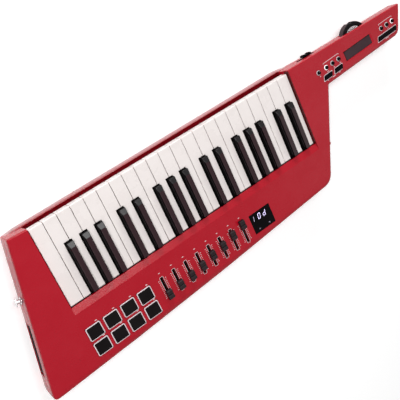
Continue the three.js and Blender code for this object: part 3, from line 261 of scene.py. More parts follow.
def door_seam_group():
    """The seam round a battery door in a flat underside. Seam is 1 within half the line's width of
    a rounded rectangle, whose distance is the length of the part of (|place - middle| - half size +
    corner) above zero, less the corner, and 0 higher than the top."""
    group, given, made = number_group(
        "door_seam", {"Middle X": 0.0, "Middle Y": 0.0, "Half Length": 0.06, "Half Depth": 0.024,
                      "Corner": 0.004, "Line": 0.0006, "Top": 0.001}, ["Seam"])
    axes = object_axes(group)
    past = []
    for axis, middle, half in (("X", "Middle X", "Half Length"), ("Y", "Middle Y", "Half Depth")):
        away = worked(group, "ABSOLUTE", worked(group, "SUBTRACT", axes[axis], given[middle]))
        inner = worked(group, "SUBTRACT", given[half], given["Corner"])
        past.append(worked(group, "MAXIMUM", worked(group, "SUBTRACT", away, inner), 0.0))
    squares = worked(group, "ADD", worked(group, "MULTIPLY", past[0], past[0]),
                     worked(group, "MULTIPLY", past[1], past[1]))
    distance = worked(group, "SUBTRACT", worked(group, "SQRT", squares), given["Corner"])
    near = worked(group, "LESS_THAN", worked(group, "ABSOLUTE", distance),
                  worked(group, "MULTIPLY", given["Line"], 0.5))
    low = worked(group, "LESS_THAN", axes["Z"], given["Top"])
    group.links.new(worked(group, "MULTIPLY", near, low), made["Seam"])
    return group


KEY_SIDE_GAP = 0.5  # millimetres
first_key_low, first_key_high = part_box("white_key_01")
keys_corner = np.array([first_key_low[0] - KEY_SIDE_GAP / 1000, first_key_high[1],
                        first_key_high[2]])


def from_keys(points):
    """Row-frame places in metres of points given in millimetres from the tail end of the white
    keys' front edge, at the height of their tops: a thousandth of each, plus that corner."""
    return np.asarray(points, float) / 1000 + keys_corner


def box_mask_group():
    """A soft-edged box. Inside is the smallest of 1 and six ramps: for each axis, the place less
    the low side and the high side less the place, each over the softness and kept between 0 and
    1."""
    sides = {"Low " + axis: -1.0 for axis in "XYZ"} | {"High " + axis: 1.0 for axis in "XYZ"}
    group, given, made = number_group("box_mask", {**sides, "Soft": 0.0003}, ["Inside"])
    axes = object_axes(group)
    smallest = 1.0
    for axis in "XYZ":
        for above, below in ((axes[axis], given["Low " + axis]),
                             (given["High " + axis], axes[axis])):
            ramp = worked(group, "DIVIDE", worked(group, "SUBTRACT", above, below), given["Soft"],
                          clamped=True)
            smallest = worked(group, "MINIMUM", smallest, ramp)
    group.links.new(smallest, made["Inside"])
    return group


box_mask = box_mask_group()


def mask_of_box(material, low, high, soft):
    """The mask of a box between two corners in millimetres from the keys' front corner, with a
    soft edge of some millimetres inside it."""
    sides = {side + axis: value for side, corner in (("Low ", low), ("High ", high))
             for axis, value in zip("XYZ", from_keys(corner))}
    return use_group(material.node_tree, box_mask, {**sides, "Soft": soft / 1000})["Inside"]


def shade_boxes(material, boxes):
    """Colours a finish inside boxes, one after the other. Each box has its low corner, its high
    corner, its colour and its soft edge."""
    for low, high, colour, soft in boxes:
        paint_where(material, mask_of_box(material, low, high, soft), colour)


shell_red = moulded("shell_red", colour=(0.40, 0.005, 0.016), handled=(0.42, 0.007, 0.019),
                    roughness=0.30, polished=0.24, grain_size=1500.0, specular=0.2)
shade_boxes(shell_red, [
    # the wall beside the last white key, in its shade
    ((516, -136.2, -30), (518.5, 4.2, 6.2), (0.09, 0.001, 0.002), 0.4),
    # painted shade in the seam round the side, between the two shells
    ((-100, -260, -21), (520, 9, -19.3), (0.05, 0.001, 0.002), 0.3)])
back_red = moulded("back_red", colour=(0.40, 0.007, 0.018), handled=(0.42, 0.009, 0.021),
                   roughness=0.28, polished=0.22, grain_size=1500.0, specular=0.25)
door_seam = use_group(back_red.node_tree, door_seam_group(), {
    "Middle X": -0.06, "Middle Y": -0.09, "Half Length": 0.062, "Half Depth": 0.022})["Seam"]
paint_where(back_red, door_seam, (0.02, 0.001, 0.002))
emboss(back_red, "SUBTRACT", after=[door_seam])
dress("upper_shell", "upper_shell_moulding", shell_red, width=0.0004)
dress("lower_shell", "lower_shell_moulding", back_red, width=0.0005)


# White keys: hollow moulded caps of off-white plastic, smooth on top and eased at the front, each
# on its own hinge at the back.
def nodes_named(start):
    """The CAD nodes whose names begin so, in the order of their names."""
    return sorted(name for name in frame["nodes"] if name.startswith(start))


ROW_END = 520
PAST_REAR = -200
key_white = moulded("key_white", colour=(0.86, 0.80, 0.78), handled=(0.83, 0.765, 0.745),
                    roughness=0.32, polished=0.24, specular=0.4)
shade_boxes(key_white, [
    # the flanks, in each other's shade
    ((0, PAST_REAR, -20), (ROW_END, -2.6, -1.4), (0.50, 0.38, 0.36), 0.5),
    # the first key's outer flank, in the casing's shade
    ((0, PAST_REAR, -20), (1.2, -1.2, -0.9), (0.03, 0.002, 0.003), 0.3),
    # the rear ends: painted shade under the panel's slope, and a darker painted shadow line where
    # they go under it
    ((0, PAST_REAR, -2), (ROW_END, -133.4, 1), (0.46, 0.43, 0.42), 0.5),
    ((0, PAST_REAR, -2), (ROW_END, -134.0, 1), (0.03, 0.012, 0.012), 0.4)])
for key in nodes_named("white_key"):
    dress(key, key + "_cap", key_white, width=0.0005, angle=50)


# Black keys: taller caps of black plastic, dull at the sides, with a lacquered top and sloped
# front that take a satin shine.
def lacquer(material, weight, roughness):
    """Adds a clear coat to a finish. Its weight is a number, or a mask with its highest value."""
    shader = material.node_tree.nodes["Principled BSDF"]
    shader.inputs["Coat Roughness"].default_value = roughness
    if isinstance(weight, bpy.types.NodeSocket):
        material.node_tree.links.new(weight, shader.inputs["Coat Weight"])
    else:
        shader.inputs["Coat Weight"].default_value = weight


KEY_TOPS = ((-10, -200, 10.6), (530, -40, 13))
KEY_SLOPES = ((-10, -54.4, 8.0), (530, -40, 13))
KEY_SHOULDER_HIGHLIGHT = ((-10, -128, 8.0), (530, -55, 8.7))
LACQUER_EDGE = 0.2
LACQUER_WEIGHT = 0.45
key_black = moulded("key_black", colour=(0.0012, 0.0008, 0.001), handled=(0.002, 0.0014, 0.0016),
                    roughness=0.6, polished=0.5, grain_size=1100.0, specular=0.02)
# painted light: the shoulders' grey band is a painted highlight, the tops' red-brown tint a painted
# reflection and the slopes' faint grey a painted sheen
shade_boxes(key_black, [(*KEY_SHOULDER_HIGHLIGHT, (0.060, 0.052, 0.058), 0.15),
                        (*KEY_TOPS, (0.020, 0.004, 0.007), LACQUER_EDGE),
                        (*KEY_SLOPES, (0.007, 0.005, 0.006), LACQUER_EDGE)])
lacquered = worked(key_black.node_tree, "MAXIMUM", *(
    mask_of_box(key_black, *box, LACQUER_EDGE) for box in (KEY_TOPS, KEY_SLOPES)))
lacquer(key_black, worked(key_black.node_tree, "MULTIPLY", lacquered, LACQUER_WEIGHT),
        roughness=0.16)
for key in nodes_named("black_key"):
    dress(key, key + "_cap", key_black, width=0.0004, angle=17)

# Key chassis: a long folded tray of aluminium sheet under the keys, with a satin rolled finish. It
# carries their hinge rail and their stop rail.
chassis_metal = moulded("chassis_metal", colour=(0.42, 0.42, 0.43), handled=(0.36, 0.36, 0.37),
                        roughness=0.42, polished=0.34, grain_size=300.0, metallic=1.0)
dress("key_chassis", "key_chassis_tray", chassis_metal, width=0.0003)


# Printed marks: pale ink on the red panel. Slots have an outline and a scale at both sides, and
# each pad, fader and button has a short dash where a word would be.
def piece_of(name, parts, material, body="casing", smooth_angle=35):
    """One dressed piece from parts, each of which is its vertices in millimetres from the keys'
    front corner and its faces: a part's face numbers are raised by the count of the vertices
    before it. The piece is smooth but for edges sharper than the angle."""
    verts, faces, count = [], [], 0
    for part_verts, part_faces in parts:
        verts.append(part_verts)
        faces += [[index + count for index in face] for face in part_faces]
        count += len(part_verts)
    mesh = bpy.data.meshes.new(name)
    mesh.from_pydata(from_keys(np.concatenate(verts)).tolist(), [], faces)
    mesh.materials.append(material)
    mesh.shade_smooth()
    mesh.set_sharp_from_angle(angle=math.radians(smooth_angle))
    piece = bpy.data.objects.new(name, mesh)
    bpy.context.scene.collection.objects.link(piece)
    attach(piece, body)


def skin_over(rings, capped=True):
    """A skin over rings of points, each run through anticlockwise from above, from the lowest
    ring to the highest: point j of ring i meets its neighbours in the ring and in the next one.
    A capped skin is closed by a face over its first and its last ring."""
    rings = np.asarray(rings, float)
    levels, count = rings.shape[:2]
    i, j = np.meshgrid(np.arange(levels - 1), np.arange(count), indexing="ij")
    nearby = (j + 1) % count
    faces = np.stack([i * count + j, i * count + nearby, (i + 1) * count + nearby,
                      (i + 1) * count + j], -1).reshape(-1, 4).tolist()
    if capped:
        faces.append(list(range(count))[::-1])
        faces.append(list(range((levels - 1) * count, levels * count)))
    return rings.reshape(-1, 3), faces


def moulding_round(loops):
    """A closed band: the same skin, but its last ring meets its first again and has no caps."""
    loops = np.asarray(loops, float)
    verts, faces = skin_over(np.concatenate([loops, loops[:1]]), capped=False)
    count = loops.shape[0] * loops.shape[1]
    return verts[:count], [[index % count for index in face] for face in faces]


def round_cornered(width, depth, radius, height, steps=5, lean=0.0):
    """A rectangle with quarter-circle corners at a height, anticlockwise from above: each corner's
    points are its centre plus the radius times the cosine and sine of an angle, and every point
    slides along X by lean times its Y."""
    angles = (np.arange(4)[:, None] * 90 + np.linspace(0, 90, steps)[None, :]) * math.pi / 180
    centres = np.array([[1, 1], [-1, 1], [-1, -1], [1, -1]]) * [
        width / 2 - radius, depth / 2 - radius]
    x = centres[:, :1] + radius * np.cos(angles)
    y = centres[:, 1:] + radius * np.sin(angles)
    points = np.stack([x + lean * y, y, np.full_like(x, height)], -1)
    return points.reshape(-1, 3)


def rounded_bar(width, depth, radius, low, high, steps=5, lean=0.0):
    """A bar with rounded corners that stands between two heights: a skin over its two rings."""
    return skin_over([round_cornered(width, depth, radius, height, steps, lean)
                      for height in (low, high)])


def outline_band(width, depth, radius, line, low, high, lean=0.0):
    """A printed or moulded band round a rectangle: its section is a box from the rectangle out
    by the line's width, between two heights."""
    grow = [(0, low), (line, low), (line, high), (0, high)]
    return moulding_round([round_cornered(width + 2 * out, depth + 2 * out, radius + out, height,
                                          lean=lean) for out, height in grow])


def moved(part, x, y, z=0.0, turn=0.0):
    """A part turned by an angle about Z and then moved: x' = x cos - y sin, y' = x sin + y cos."""
    verts, faces = part
    c, s = math.cos(turn), math.sin(turn)
    turned = verts @ np.array([[c, s, 0], [-s, c, 0], [0, 0, 1]])
    return turned + [x, y, z], faces


PANEL = 7.0
INK = 0.05
INK_LOW, INK_HIGH = PANEL - INK, PANEL + INK
DASH_CORNER_SHARE = 0.2
NECK_START_X, NECK_START_Y = 576.8, -27
NECK_TURN = math.radians(3.18)


def on_neck(part, u, v, z=0.0):
    """A part set on the neck's line: u along the line from the first round button, v across."""
    c, s = math.cos(NECK_TURN), math.sin(NECK_TURN)
    return moved(part, NECK_START_X + u * c - v * s, NECK_START_Y + u * s + v * c, z, NECK_TURN)


def dash(length, width):
    """A thin printed bar on the panel, from just under it to just over."""
    return rounded_bar(length, width, width * DASH_CORNER_SHARE, INK_LOW, INK_HIGH, steps=2)


fader_x = 144.9 + 24.16 * np.arange(8)
FADER_Y = -195.5
TICK, END_TICK, TICK_WIDTH, TICK_START = 1.9, 2.6, 0.8, 5.3
END_TICK_FROM = 15
scale_offsets = np.linspace(-15.6, 15.6, 11)
FADER_WORD_X, FADER_WORD_Y = -0.2, -168.0
pad_x = 12.8 + 32.1 * np.arange(4)
PAD_WORD_X = 8.6
pad_word_y = (-171.8, -199.4)
ink_parts, slot_edges = [], []
slot_edge = outline_band(width=4.1, depth=38.3, radius=0.6, line=0.85, low=INK_LOW, high=INK_HIGH)
outline = outline_band(width=5.8, depth=40.0, radius=1.1, line=0.6, low=INK_LOW, high=INK_HIGH)
for x in fader_x:
    slot_edges.append(moved(slot_edge, x, FADER_Y))
    ink_parts.append(moved(outline, x, FADER_Y))
    for offset in scale_offsets:
        length = END_TICK if abs(offset) > END_TICK_FROM else TICK
        for side in (-1, 1):
            ink_parts.append(moved(dash(length, TICK_WIDTH), x + side * (TICK_START + length / 2),
                                   FADER_Y + offset))
    ink_parts.append(moved(dash(length=3.0, width=1.3), x + FADER_WORD_X, FADER_WORD_Y))
for x in pad_x:
    for y in pad_word_y:
        ink_parts.append(moved(dash(length=3.6, width=1.3), x + PAD_WORD_X, y))
# Brackets over the rows of round buttons: where each starts and ends along the neck's line
BRACKET_V, BRACKET_END_V, BRACKET_LINE, BRACKET_END = 9.2, 8.2, 0.9, 2.4
for start, end in ((16.5, 56.0), (168.0, 204.0)):
    ink_parts.append(on_neck(dash(end - start, BRACKET_LINE), (start + end) / 2, BRACKET_V))
    for u in (start, end):
        ink_parts.append(on_neck(dash(BRACKET_LINE, BRACKET_END), u, BRACKET_END_V))
# Words under the round buttons and under the slanted ones: place along the neck's line, length
WORDS_V, WORDS_U, WORDS_WIDTH = -7.4, 1.0, 1.1
for u, length in ((0, 2.6), (20.1, 4.6), (36.1, 3.4), (52.1, 4.2), (186.1, 3.0)):
    ink_parts.append(on_neck(dash(length, WORDS_WIDTH), u + WORDS_U, WORDS_V))
LOWER_WORDS_V, LOWER_WORDS_WIDTH = -21.6, 1.3
for u, length in ((13.5, 2.2), (28.6, 7.4), (44.0, 3.2), (177.0, 8.4)):
    ink_parts.append(on_neck(dash(length, LOWER_WORDS_WIDTH), u, LOWER_WORDS_V))
panel_ink = moulded("panel_ink", colour=(0.78, 0.60, 0.62), handled=(0.70, 0.52, 0.54),
                    roughness=0.5, polished=0.4, grain_size=2500.0, grain_depth=0.00001)
piece_of("panel_marks", ink_parts, panel_ink)
outline_black = moulded("outline_black", colour=(0.0015, 0.0015, 0.0015),
                        handled=(0.002, 0.002, 0.002), roughness=0.5, polished=0.45,
                        grain_depth=0.00001, specular=0.05)
piece_of("slot_edges", slot_edges, outline_black)

# Front strip: a matt dark red strip over the rim under the keys' fronts and a little way down the
# front wall: painted shade that stands for the dark gap under the keys' overhang.
shade_strip_section = np.array([(1.35, -20.5), (3.1, -20.5), (2.7, -25.0), (3.5, -25.0), (3.75, -20.05),
                         (1.35, -20.05)])
# At each end: its place along the keys, and how far out each point of the section moves there
shade_strip_ends = [(-1.6, [0, 0, 0, 0, 0, 0]), (517.6, [0, 1.7, 1.7, 1.7, 1.7, 0])]
shade_strip_rings = np.array([np.column_stack([np.full(len(out), x), shade_strip_section[:, 0] + out,
                                        shade_strip_section[:, 1]]) for x, out in shade_strip_ends])
shade_strip_red = moulded("shade_strip_red", colour=(0.11, 0.0015, 0.003), handled=(0.13, 0.002, 0.004),
                   roughness=0.9, polished=0.85, grain_size=1800.0, grain_depth=0.00005,
                   specular=0.0)
piece_of("front_strip", [skin_over(shade_strip_rings)], shade_strip_red)

# Front swell: the back moulding swells out a few millimetres below the strip of painted shade, all
# along the keys, and dies out at the tail corner and on the neck's root.
SWELL_TOP = -24.2
swell_x = np.array([-31.5, -26, -12, 20, 250, 400, 500, 517, 530, 542])
swell_upper = np.array([4.9, 4.8, 4.5, 4.45, 4.5, 4.8, 5.2, 5.3, 5.2, 4.9])
swell_lower = np.array([3.6, 4.4, 5.7, 5.9, 6.3, 6.7, 7.4, 7.4, 6.4, 4.0])
swell_drop = np.array([1, 1, 1, 1, 1, 1, 1, 1, 0.78, 0.58])
swell_section = np.array([  # share of the lower place, distance out from it, height from the top
    (0, -1.8, 0), (1, -4.0, -12.8), (1, -7.2, -18.1), (1, -5.2, -18.7), (1, -2.4, -18.3),
    (1, -0.9, -17.0), (1, -0.15, -15.2), (1, 0, -13.6), (0.55, 0, -6.8), (0, 0, -0.4),
    (0, -0.35, 0)])
swell_share, swell_out, swell_height = swell_section.T
swell_rings = np.stack(np.broadcast_arrays(
    swell_x[:, None],
    swell_upper[:, None] * (1 - swell_share) + swell_lower[:, None] * swell_share + swell_out,
    SWELL_TOP + swell_drop[:, None] * swell_height), -1)
swell_red = moulded("swell_red", colour=(0.29, 0.006, 0.014), handled=(0.31, 0.008, 0.017),
                    roughness=0.28, polished=0.22, grain_size=1500.0, specular=0.6)
lacquer(swell_red, weight=0.9, roughness=0.2)
piece_of("front_swell", [skin_over(swell_rings)], swell_red)

# Pads: eight black rubber pads moulded as one mat, which is fixed to posts under the panel. Each
# pad's window has a pale moulded frame pressed into it.
PAD_WIDTH, PAD_DEPTH, PAD_CORNER = 22.9, 19.7, 0.9
pad_y = -186.7 - 27.5 * np.arange(2)
frame_section = [  # distance out from the pad, height
    (0.0, 6.75), (1.75, 6.75), (1.75, 7.1), (1.45, 7.35), (0.3, 7.35), (0.0, 7.1)]
pad_rubber = moulded("pad_rubber", colour=(0.005, 0.0035, 0.004), handled=(0.008, 0.006, 0.0065),
                     roughness=0.62, polished=0.5, grain_size=700.0, grain_depth=0.00008,
                     specular=0.05)
dress("pad_mat", "pad_mat_rubber", pad_rubber, width=0.0009, segments=3)
pad_frame = moulding_round([round_cornered(PAD_WIDTH + 2 * out, PAD_DEPTH + 2 * out,
                                           PAD_CORNER + out, height)
                            for out, height in frame_section])
frame_grey = moulded("frame_grey", colour=(0.84, 0.72, 0.75), handled=(0.76, 0.64, 0.67),
                     roughness=0.4, polished=0.3, grain_size=1500.0, grain_depth=0.00002)
piece_of("pad_frames", [moved(pad_frame, x, y) for x in pad_x for y in pad_y], frame_grey)

# Faders: moulded caps of dark satin plastic, with a finger dip and a black groove across the
# middle. Each is pushed onto its slide control by a flat stem.
CAP_WIDTH = 10.0
GROOVE_MARGIN = 0.8
GROOVE_WIDTH = 1.7
GROOVE_CORNER = 0.2
GROOVE_LOW, GROOVE_HIGH = -2.2, -1.1
cap_plastic = moulded("cap_plastic", colour=(0.014, 0.007, 0.009), handled=(0.020, 0.011, 0.013),
                      roughness=0.4, polished=0.3, grain_size=1300.0, specular=0.14)
cap_groove_black = moulded("cap_groove_black", colour=(0.001, 0.001, 0.001),
                           handled=(0.002, 0.001, 0.001), roughness=0.6, polished=0.5,
                           grain_depth=0.00002, specular=0.05)
for fader in nodes_named("fader"):
    dress(fader, fader + "_cap", cap_plastic, width=0.0005, segments=3)
    cap_x, cap_y, _ = (np.array(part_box(fader)).mean(0) - keys_corner) * 1000
    cap_top = (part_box(fader)[1][2] - keys_corner[2]) * 1000
    groove = rounded_bar(CAP_WIDTH - GROOVE_MARGIN, GROOVE_WIDTH, GROOVE_CORNER,
                         cap_top + GROOVE_LOW, cap_top + GROOVE_HIGH, steps=2)
    piece_of(fader + "_groove", [moved(groove, cap_x, cap_y)], cap_groove_black,
             body=body_of_node[fader])

# Control board: a green circuit board on the panel's posts, which carries the slide controls and
# the display module. They are black, and only the slide controls are seen, through the slots.
BOARD_TOP = -4.5
STEP_RISE = 0.0001
board_high = float(from_keys([0, 0, BOARD_TOP])[2]) + STEP_RISE
board_green = moulded("board_green", colour=(0.006, 0.06, 0.022), handled=(0.008, 0.075, 0.03),
                      roughness=0.5, polished=0.4, grain_size=800.0, specular=0.2)
on_board = spread(board_green.node_tree, object_axes(board_green.node_tree)["Z"], board_high,
                  board_high + STEP_RISE)
paint_where(board_green, on_board, (0.003, 0.003, 0.003))
dress("control_board", "control_board_plate", board_green, width=0.0002)


# Display: a black glossy plastic window, glued in flush with the panel. Its numerals are lit in
# violet white, and two touch keys under them are printed on it.
def lit(name, colour, strength):
    """A lit finish: a pale body colour that also gives off the same colour."""
    material = bpy.data.materials.new(name)
    material.use_nodes = True
    set_inputs(material.node_tree.nodes["Principled BSDF"], {
        "Base Color": (*colour, 1), "Emission Color": (*colour, 1), "Emission Strength": strength,
        "Roughness": 0.3})
    return material


GLASS = 6.8
LIT_LOW, LIT_HIGH = GLASS - 0.02, GLASS + 0.04
DISPLAY_X, DISPLAY_Y = 355.5, -194.3
NUMERAL_V = 8.4
BAR = 4.6
BAR_GAP, UPRIGHT_GAP = 0.7, 0.5
BAR_CORNER_SHARE = 0.3
LEAN = 0.2
strokes = {  # place along and across one numeral, and whether the stroke stands up
    "top": (0, BAR, False), "middle": (0, 0, False), "foot": (0, -BAR, False),
    "upper_tail": (-BAR / 2, BAR / 2, True), "upper_neck": (BAR / 2, BAR / 2, True),
    "lower_tail": (-BAR / 2, -BAR / 2, True), "lower_neck": (BAR / 2, -BAR / 2, True)}


def numeral(place, names, thickness):
    """One seven-stroke numeral round a place: each stroke is a thin rounded bar that leans along
    the keyboard by a share of its place across."""
    parts = []
    for stroke in names:
        along, across, upright = strokes[stroke]
        size = (thickness, BAR - UPRIGHT_GAP) if upright else (BAR - BAR_GAP, thickness)
        bar = rounded_bar(*size, thickness * BAR_CORNER_SHARE, LIT_LOW, LIT_HIGH, steps=3,
                          lean=LEAN)
        parts.append(moved(bar, DISPLAY_X + place + along + LEAN * across,
                           DISPLAY_Y + NUMERAL_V + across))
    return parts


bright = numeral(place=-3.4, names=[name for name in strokes if name != "middle"],
                 thickness=0.95)
bright += numeral(place=8.0, names=[name for name in strokes if name not in ("top", "upper_tail")],
                  thickness=0.95)
dim = numeral(place=-17.6, names=["upper_neck", "lower_neck"], thickness=1.0)
# Touch keys: place along the display, and which way the two strokes of the arrow lean
touch_keys = ((-11.3, 1), (10.9, -1))
TOUCH_V = -12.4
ARROW_REACH = 0.7
ARROW_TURN = math.radians(40)
arrow_stroke = rounded_bar(width=2.0, depth=0.6, radius=0.15, low=LIT_LOW, high=LIT_HIGH, steps=2)
for x, lean in touch_keys:
    for side in (-1, 1):
        dim.append(moved(arrow_stroke, DISPLAY_X + x + side * ARROW_REACH, DISPLAY_Y + TOUCH_V,
                         turn=-side * lean * ARROW_TURN))
key_outline = outline_band(width=10.4, depth=7.4, radius=1.4, line=0.5, low=LIT_LOW,
                           high=GLASS + 0.05)
key_outlines = [moved(key_outline, DISPLAY_X + x, DISPLAY_Y + TOUCH_V) for x, lean in touch_keys]
window_black = moulded("window_black", colour=(0.001, 0.0005, 0.001),
                       handled=(0.002, 0.001, 0.002), roughness=0.12, polished=0.09,
                       grain_size=200.0, grain_depth=0.000004, specular=0.05)
dress("display_window", "display_glass", window_black, width=0.0003)
numeral_light = lit("numeral_light", colour=(0.74, 0.66, 1.0), strength=1.0)
numeral_dim = lit("numeral_dim", colour=(0.42, 0.36, 0.50), strength=0.5)
piece_of("display_numerals", bright, numeral_light)
piece_of("display_marks", dim, numeral_dim)
piece_of("display_key_outlines", key_outlines, outline_black)

# Neck board and its buttons: round and slanted black caps, the round ones in pale light rings and
# the slanted ones in pale printed surrounds, with the touch strip's dark pad glued into the panel.
button_black = moulded("button_black", colour=(0.002, 0.0015, 0.002),
                       handled=(0.004, 0.003, 0.004), roughness=0.5, polished=0.4,
                       grain_size=1200.0, specular=0.03)
dress("neck_board", "neck_board_controls", button_black, width=0.0004, segments=3)
for button in ("octave_down", "octave_up"):
    dress(button + "_button", button + "_cap", button_black, width=0.0005, segments=3)
dress("bar_button", "bar_button_cap", button_black, width=0.0005, segments=3)


def polar_rings(radii, heights, count):
    """Rings of points round the Z axis: the point of ring i at angle a is radius i times the
    cosine and sine of a, at height i, or at a height of its own where heights has one for each
    angle."""
    angles = np.linspace(0, 2 * math.pi, count, endpoint=False)
    radii = np.asarray(radii, float)[:, None]
    heights = np.asarray(heights, float).reshape(len(radii), -1)
    return np.stack(np.broadcast_arrays(
        radii * np.cos(angles), radii * np.sin(angles), heights), -1)


round_buttons = (0, 20.1, 36.1, 52.1, 170.6, 186.1, 201.6)
lit_buttons = (20.1, 201.6)
ring_section = [  # radius, height
    (3.3, 6.6), (4.5, 6.6), (4.5, 7.3), (4.2, 7.6), (3.6, 7.6), (3.3, 7.4)]
ring = moulding_round(polar_rings(*np.transpose(ring_section), count=32))
ring_glow = lit("ring_glow", colour=(0.95, 0.93, 0.95), strength=0.5)
ring_grey = moulded("ring_grey", colour=(0.76, 0.68, 0.70), handled=(0.68, 0.60, 0.62),
                    roughness=0.35, polished=0.25, grain_depth=0.00001)
piece_of("lit_rings", [on_neck(ring, u, v=0) for u in lit_buttons], ring_glow)
piece_of("button_rings", [on_neck(ring, u, v=0) for u in round_buttons if u not in lit_buttons],
         ring_grey)
slanted_buttons = ((16.8, 18.5), (44.1, 18.5), (179.6, 49.0))  # place along the neck, width
SLANTED_V = -15
SURROUND_GROWTH = 1.4
surrounds = [on_neck(outline_band(width + SURROUND_GROWTH, depth=8.6, radius=0.9, line=1.0,
                                  low=6.9, high=7.12, lean=0.45), u, SLANTED_V)
             for u, width in slanted_buttons]
piece_of("button_surrounds", surrounds, frame_grey)
STRIP_U, STRIP_V = 104.9, -4.5
strip_sheet = rounded_bar(width=69.6, depth=16.6, radius=2.4, low=5.5, high=5.75)
strip_felt = moulded("strip_felt", colour=(0.046, 0.026, 0.031), handled=(0.056, 0.033, 0.039),
                     roughness=0.7, polished=0.6, grain_size=1600.0, grain_depth=0.00006,
                     specular=0.1)
piece_of("touch_strip_pad", [on_neck(strip_sheet, STRIP_U, STRIP_V)], strip_felt)

# Modulation slider: a small black cap on the neck's front wall, with a row of finger ridges. Its
# slot has painted shade: it is coloured near black inside, and a thin black band round it widens
# its dark line.
SLIDER_X, SLIDER_Y, SLIDER_Z = 578.0, 10.6, -11.0
RIDGE_HALF_HEIGHT = 3.6
ridge_places = (-6.6, -5.2, -3.8, 3.8, 5.2, 6.6)
dress("mod_slider", "mod_slider_cap", button_black, width=0.0005, segments=3)
ridge = rounded_bar(width=0.7, depth=0.9, radius=0.2, low=SLIDER_Z - RIDGE_HALF_HEIGHT,
                    high=SLIDER_Z + RIDGE_HALF_HEIGHT, steps=3)
piece_of("mod_slider_ridges", [moved(ridge, SLIDER_X + x, SLIDER_Y) for x in ridge_places],
         button_black, body="mod_slider")
SLOT_HALF_HEIGHT = 2.3
# painted shade: the slot's inside is coloured near black
shade_boxes(back_red, [((554, -6, SLIDER_Z - SLOT_HALF_HEIGHT),
                        (598, 5.3, SLIDER_Z + SLOT_HALF_HEIGHT), (0.002, 0.001, 0.001), 0.3)])
SLOT_MIDDLE = 576.0
SLOT_FACE = 5.7
FACE_TURN = 0.0033
# a thin black band round the slot: painted shade that widens the slot's dark line
slot_shade_verts, slot_shade_faces = outline_band(width=38.6, depth=4.0, radius=0.3, line=1.3, low=-0.4,
                                      high=0.3)
# The band is stood up, so that its top looks out of the wall: y' = z, z' = -y
upright = slot_shade_verts @ np.array([[1, 0, 0], [0, 0, -1], [0, 1, 0]])
slot_shade_band = moved((upright, slot_shade_faces), SLOT_MIDDLE, SLOT_FACE, SLIDER_Z, FACE_TURN)
piece_of("mod_slider_slot_shade", [slot_shade_band], button_black)


# Pitch wheel: a thick black rubber rim with a ribbed band, on a bright metal hub whose face is
# pressed in a ring of pips.
def tread_group():
    """The ribbed tread of a wheel that turns about an upright axle. Away is the length of the place
    less the axle's in X and Y; Tread is 1 where Away is past the radius and the height is inside
    the band, and Rib is the sine of the angle round the axle times the number of ribs."""
    group, given, made = number_group(
        "tread", {"Axle X": 0.0, "Axle Y": 0.0, "Radius": 0.03, "Low": 0.0, "High": 0.05,
                  "Ribs": 150.0}, ["Tread", "Rib"])
    axes = object_axes(group)
    away_x = worked(group, "SUBTRACT", axes["X"], given["Axle X"])
    away_y = worked(group, "SUBTRACT", axes["Y"], given["Axle Y"])
    away = worked(group, "SQRT", worked(group, "ADD", worked(group, "MULTIPLY", away_x, away_x),
                                        worked(group, "MULTIPLY", away_y, away_y)))
    outside = worked(group, "GREATER_THAN", away, given["Radius"])
    in_band = worked(group, "MULTIPLY", worked(group, "GREATER_THAN", axes["Z"], given["Low"]),
                     worked(group, "LESS_THAN", axes["Z"], given["High"]))
    turn = worked(group, "MULTIPLY", worked(group, "ARCTAN2", away_y, away_x), given["Ribs"])
    group.links.new(worked(group, "MULTIPLY", outside, in_band), made["Tread"])
    group.links.new(worked(group, "SINE", turn), made["Rib"])
    return group


WHEEL_X, WHEEL_Y = 691.0, -12.0
WHEEL_TOP = -1.6
TREAD_DEPTH = 0.0008
TREAD_MARGIN = 0.0012
wheel_black = moulded("wheel_black", colour=(0.003, 0.002, 0.002), handled=(0.005, 0.003, 0.004),
                      roughness=0.5, polished=0.4, grain_depth=0.00006, specular=0.06)
wheel_low, wheel_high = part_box("pitch_wheel")
axle_x, axle_y, _ = from_keys([WHEEL_X, WHEEL_Y, 0])
tread = use_group(wheel_black.node_tree, tread_group(), {
    "Axle X": axle_x, "Axle Y": axle_y,
    "Radius": (wheel_high[0] - wheel_low[0]) / 2 - TREAD_DEPTH,
    "Low": wheel_low[2] + TREAD_MARGIN, "High": wheel_high[2] - TREAD_MARGIN})
paint_where(wheel_black, tread["Tread"], (0.058, 0.038, 0.042))
emboss(wheel_black, "MULTIPLY_ADD", tread["Tread"], tread["Rib"])
dress("pitch_wheel", "pitch_wheel_rim", wheel_black, width=0.0005, segments=3)
HUB_SEAT = WHEEL_TOP - 2.0
HUB_POINTS = 288
PIPS_ROUND = 24
PIP_HEIGHT = 0.6
PIPS_FROM, PIPS_TO = 12.5, 22.5
hub_angles = np.linspace(0, 2 * math.pi, HUB_POINTS, endpoint=False)
hub_radii, hub_rises = np.array([  # radius, rise from the hub's seat
    (23.6, 0.05), (23.6, 0.75), (23.0, 0.9), (22.0, 0.9), (21.0, 0.9), (20.0, 0.9), (19.0, 0.9),
    (18.0, 0.9), (17.0, 0.9), (16.0, 0.9), (15.0, 0.9), (14.0, 0.9), (13.0, 0.9), (8.0, 1.1),
    (4.4, 1.1), (4.4, 0.05)]).T
# The rings of pips are 2 mm apart, and the pips of one stand in the gaps of the next
pipped = (hub_radii > PIPS_FROM) & (hub_radii < PIPS_TO)
pips = (PIP_HEIGHT * pipped * np.cos(math.pi * hub_radii / 2))[:, None] * np.sin(
    PIPS_ROUND * hub_angles)
hub = skin_over(polar_rings(hub_radii, HUB_SEAT + hub_rises[:, None] + pips, HUB_POINTS))
hub_metal = moulded("hub_metal", colour=(0.75, 0.73, 0.73), handled=(0.55, 0.53, 0.54),
                    roughness=0.28, polished=0.18, grain_size=500.0, grain_depth=0.00004,
                    metallic=1.0)
piece_of("pitch_wheel_hub", [moved(hub, WHEEL_X, WHEEL_Y)], hub_metal,
         body="pitch_wheel")

